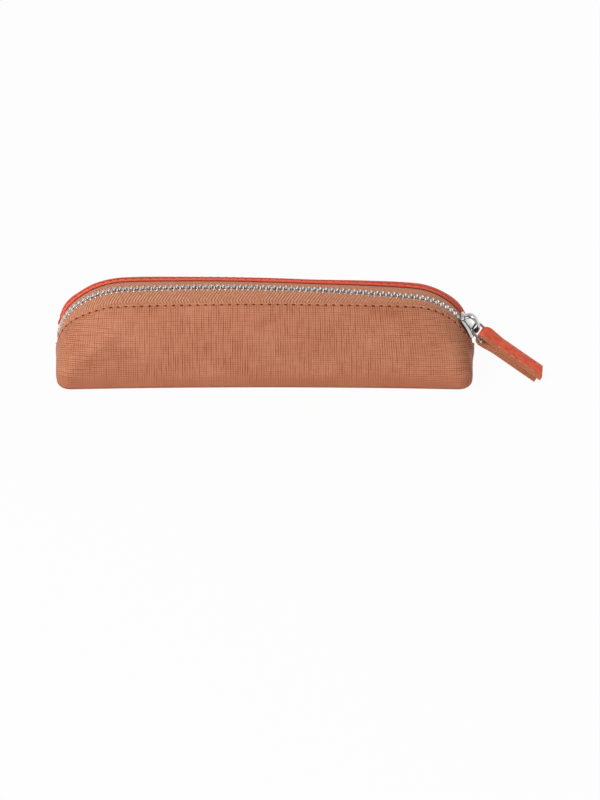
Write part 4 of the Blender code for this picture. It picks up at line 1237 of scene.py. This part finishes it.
def make_floor():
    """Square floor, level with the base."""
    size = FLOOR_HALF_SIZE
    corners = [(-size, -size, 0), (size, -size, 0), (size, size, 0), (-size, size, 0)]
    mesh = bpy.data.meshes.new("floor")
    mesh.from_pydata(corners, [], [(0, 1, 2, 3)])
    mesh.materials.append(floor_material("pale_floor", 0.9))
    floor = bpy.data.objects.new("floor", mesh)
    bpy.context.scene.collection.objects.link(floor)


def area_light(name, place, target, size, power):
    """Square soft light at a place, turned to a target."""
    data = bpy.data.lights.new(name, "AREA")
    data.size = size
    data.energy = power
    lamp = bpy.data.objects.new(name, data)
    bpy.context.scene.collection.objects.link(lamp)
    lamp.location = place
    x, y, z = np.array(target, float) - np.array(place, float)
    lamp.rotation_euler = (math.atan2(math.hypot(x, y), -z), 0, math.atan2(x, -y) + math.pi)
    return lamp


def make_world():
    """White wall behind the case, a dimmer ceiling and a dark front, all white to the camera.

    The tone is a ramp over (y - 0.9 z + 1) / 2 of the direction. Transmission rays see white too.
    """
    world = bpy.data.worlds.new("studio")
    bpy.context.scene.world = world
    world.use_nodes = True
    m = Nodes(world.node_tree)
    m.tree.nodes.clear()
    lean = m.add("ShaderNodeVectorMath", m.add("ShaderNodeTexCoord", out="Generated"),
                 (0, 0.5, -0.45), operation="DOT_PRODUCT", out="Value")
    tone = m.colours(lean + 0.5, *((place, (level, level, level)) for place, level in WORLD_TONES))
    room = m.add("ShaderNodeBackground", tone, WORLD_STRENGTH)
    white = m.add("ShaderNodeBackground", (1, 1, 1, 1))
    blend = m.add("ShaderNodeMixShader", m.seen_by("Camera", "Transmission"), room, white)
    m.add("ShaderNodeOutputWorld", blend)


def make_camera():
    """Long lens at the photograph's height, framed so that known pixels fall in place."""
    scene = bpy.context.scene
    data = bpy.data.cameras.new("camera")
    camera = bpy.data.objects.new("camera", data)
    scene.collection.objects.link(camera)
    x = (IMAGE_WIDTH / 2 - PIXEL_OF_ORIGIN_X) * METRES_PER_PIXEL
    fold_up = (IMAGE_HEIGHT / 2 - PIXEL_OF_FRONT_FOLD_Y) * METRES_PER_PIXEL
    target_z = (FRONT_FOLD_VIEW_HEIGHT - fold_up) / math.cos(VIEW_ELEVATION)
    camera.location = (x, -CAMERA_DISTANCE * math.cos(VIEW_ELEVATION),
                       target_z + CAMERA_DISTANCE * math.sin(VIEW_ELEVATION))
    camera.rotation_euler = (math.pi / 2 - VIEW_ELEVATION, 0, 0)
    data.sensor_width = SENSOR_WIDTH
    data.lens = SENSOR_WIDTH * CAMERA_DISTANCE / (IMAGE_HEIGHT * METRES_PER_PIXEL)
    data.clip_end = 20
    scene.camera = camera


def make_lights():
    """Key light from the upper left, a soft fill that metal doesn't mirror, and a rim light."""
    area_light("key", (-0.8, -0.5, 1.2), (0, 0, 0), 0.8, 9)
    fill = area_light("front_fill", (-0.7, -1.4, 0.7), (0, 0, 0.02), 1.2, 12)
    fill.visible_glossy = False
    area_light("rim", (0.8, 0.9, 0.9), (0.05, 0, 0.02), 0.6, 4)


def make_looks():
    """All materials by name. Those of one kind share a node group."""
    emboss, strand, plating = linen_emboss(), twisted_strand(), plating_unevenness()
    looks = {name: leather(name, emboss, *given) for name, given in LEATHERS.items()}
    looks["tape_look"] = tape_cloth("tape_look", TAPE_STOPS)
    looks["lining_look"] = plain_cloth("lining_look", LINING_STOPS)
    looks.update((name, thread(name, strand, *given)) for name, given in THREADS.items())
    looks.update((name, metal(name, plating, *given)) for name, given in METALS.items())
    return looks


def make_case(looks):
    """Panels, linings, both zip halves and their seams. The stops stay the CAD's own."""
    panel_piece("front_leather", -1, looks["tan_leather_look"], "front_panel")
    panel_piece("back_leather", 1, looks["coral_leather_look"], "back_panel")
    lining_piece("front_cloth", -1, looks["lining_look"], "front_lining")
    lining_piece("back_cloth", 1, looks["lining_look"], "back_lining")
    for side, word, sewing, hole, inset in (
            (-1, "front", "seam_thread_look", "needle_hole_look", SEAM_HOLE_INSET),
            (1, "back", "coral_thread_look", "coral_hole_look", BACK_HOLE_INSET)):
        tape_piece(word + "_tape", side, looks["tape_look"], word + "_stringer")
        teeth_piece(word + "_teeth", side, looks["teeth_look"])
        seam_stitches(word + "_seam_stitches", side, looks[sewing], stitch_stations(),
                      SEAM_STITCH_LENGTH, SEAM_STITCH_RADIUS, SEAM_STITCH_INSET, SEAM_STITCH_SINK)
        # hole: look of the dark pieces that paint the shade in the needle holes
        seam_stitches(word + "_needle_holes", side, looks[hole], hole_stations(),
                      SEAM_HOLE_LENGTH, SEAM_HOLE_RADIUS, inset, SEAM_HOLE_SINK)
    for node in ("bottom_stop", "front_top_stop", "back_top_stop"):
        frame["nodes"][node].data.materials.clear()
        frame["nodes"][node].data.materials.append(looks["teeth_look"])


def make_slider(looks):
    """The slider's two plates, its post and its arch. The channel, the post and the arch's inside
    are near-black and the lower plate darker nickel: painted shade.
    """
    nickel, channel = looks["nickel_look"], looks["channel_look"]
    plate = slider_plate("slider_upper_plate", True, [nickel, channel])
    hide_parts("slider_body")
    bridge = bridge_piece("slider_arch", [nickel, channel])
    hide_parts("slider_bridge")
    lower = slider_plate("slider_lower_plate", False, [looks["lower_plate_look"], channel])
    for piece in (plate, lower, slider_wedge("slider_post", channel), bridge):
        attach(piece, "slider")


def make_pull(looks):
    """The wire link and the strap, whose layers are thickened until they nearly meet."""
    link = link_piece("wire_link", looks["wire_look"])
    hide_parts("pull_link")
    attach(link, "link")
    fuller = (STRAP_LAYER_GAP - STRAP_SEWN_GAP) / 2
    skin = STRAP_SKIN + fuller
    inner_depth = STRAP_LAYER_GAP / 2 + skin / 2
    outer_depth = inner_depth + skin + STRAP_SEWN_GAP
    # line is the strap's painted edge shade
    edge, line = looks["cut_edge_look"], looks["cut_line_look"]
    strap_layer("strap_inner", inner_depth, skin, [looks["strap_tan_look"], edge, line],
                "strap_lining")
    strap_layer("strap_outer", outer_depth, skin, [looks["strap_coral_look"], edge, line],
                "strap_face")
    strap_stitches("strap_stitches", outer_depth + skin / 2, looks["strap_thread_look"])


def main():
    bpy.context.scene.view_settings.view_transform = "Standard"
    looks = make_looks()
    make_case(looks)
    make_slider(looks)
    make_pull(looks)
    make_floor()
    make_world()
    make_lights()
    make_camera()


main()
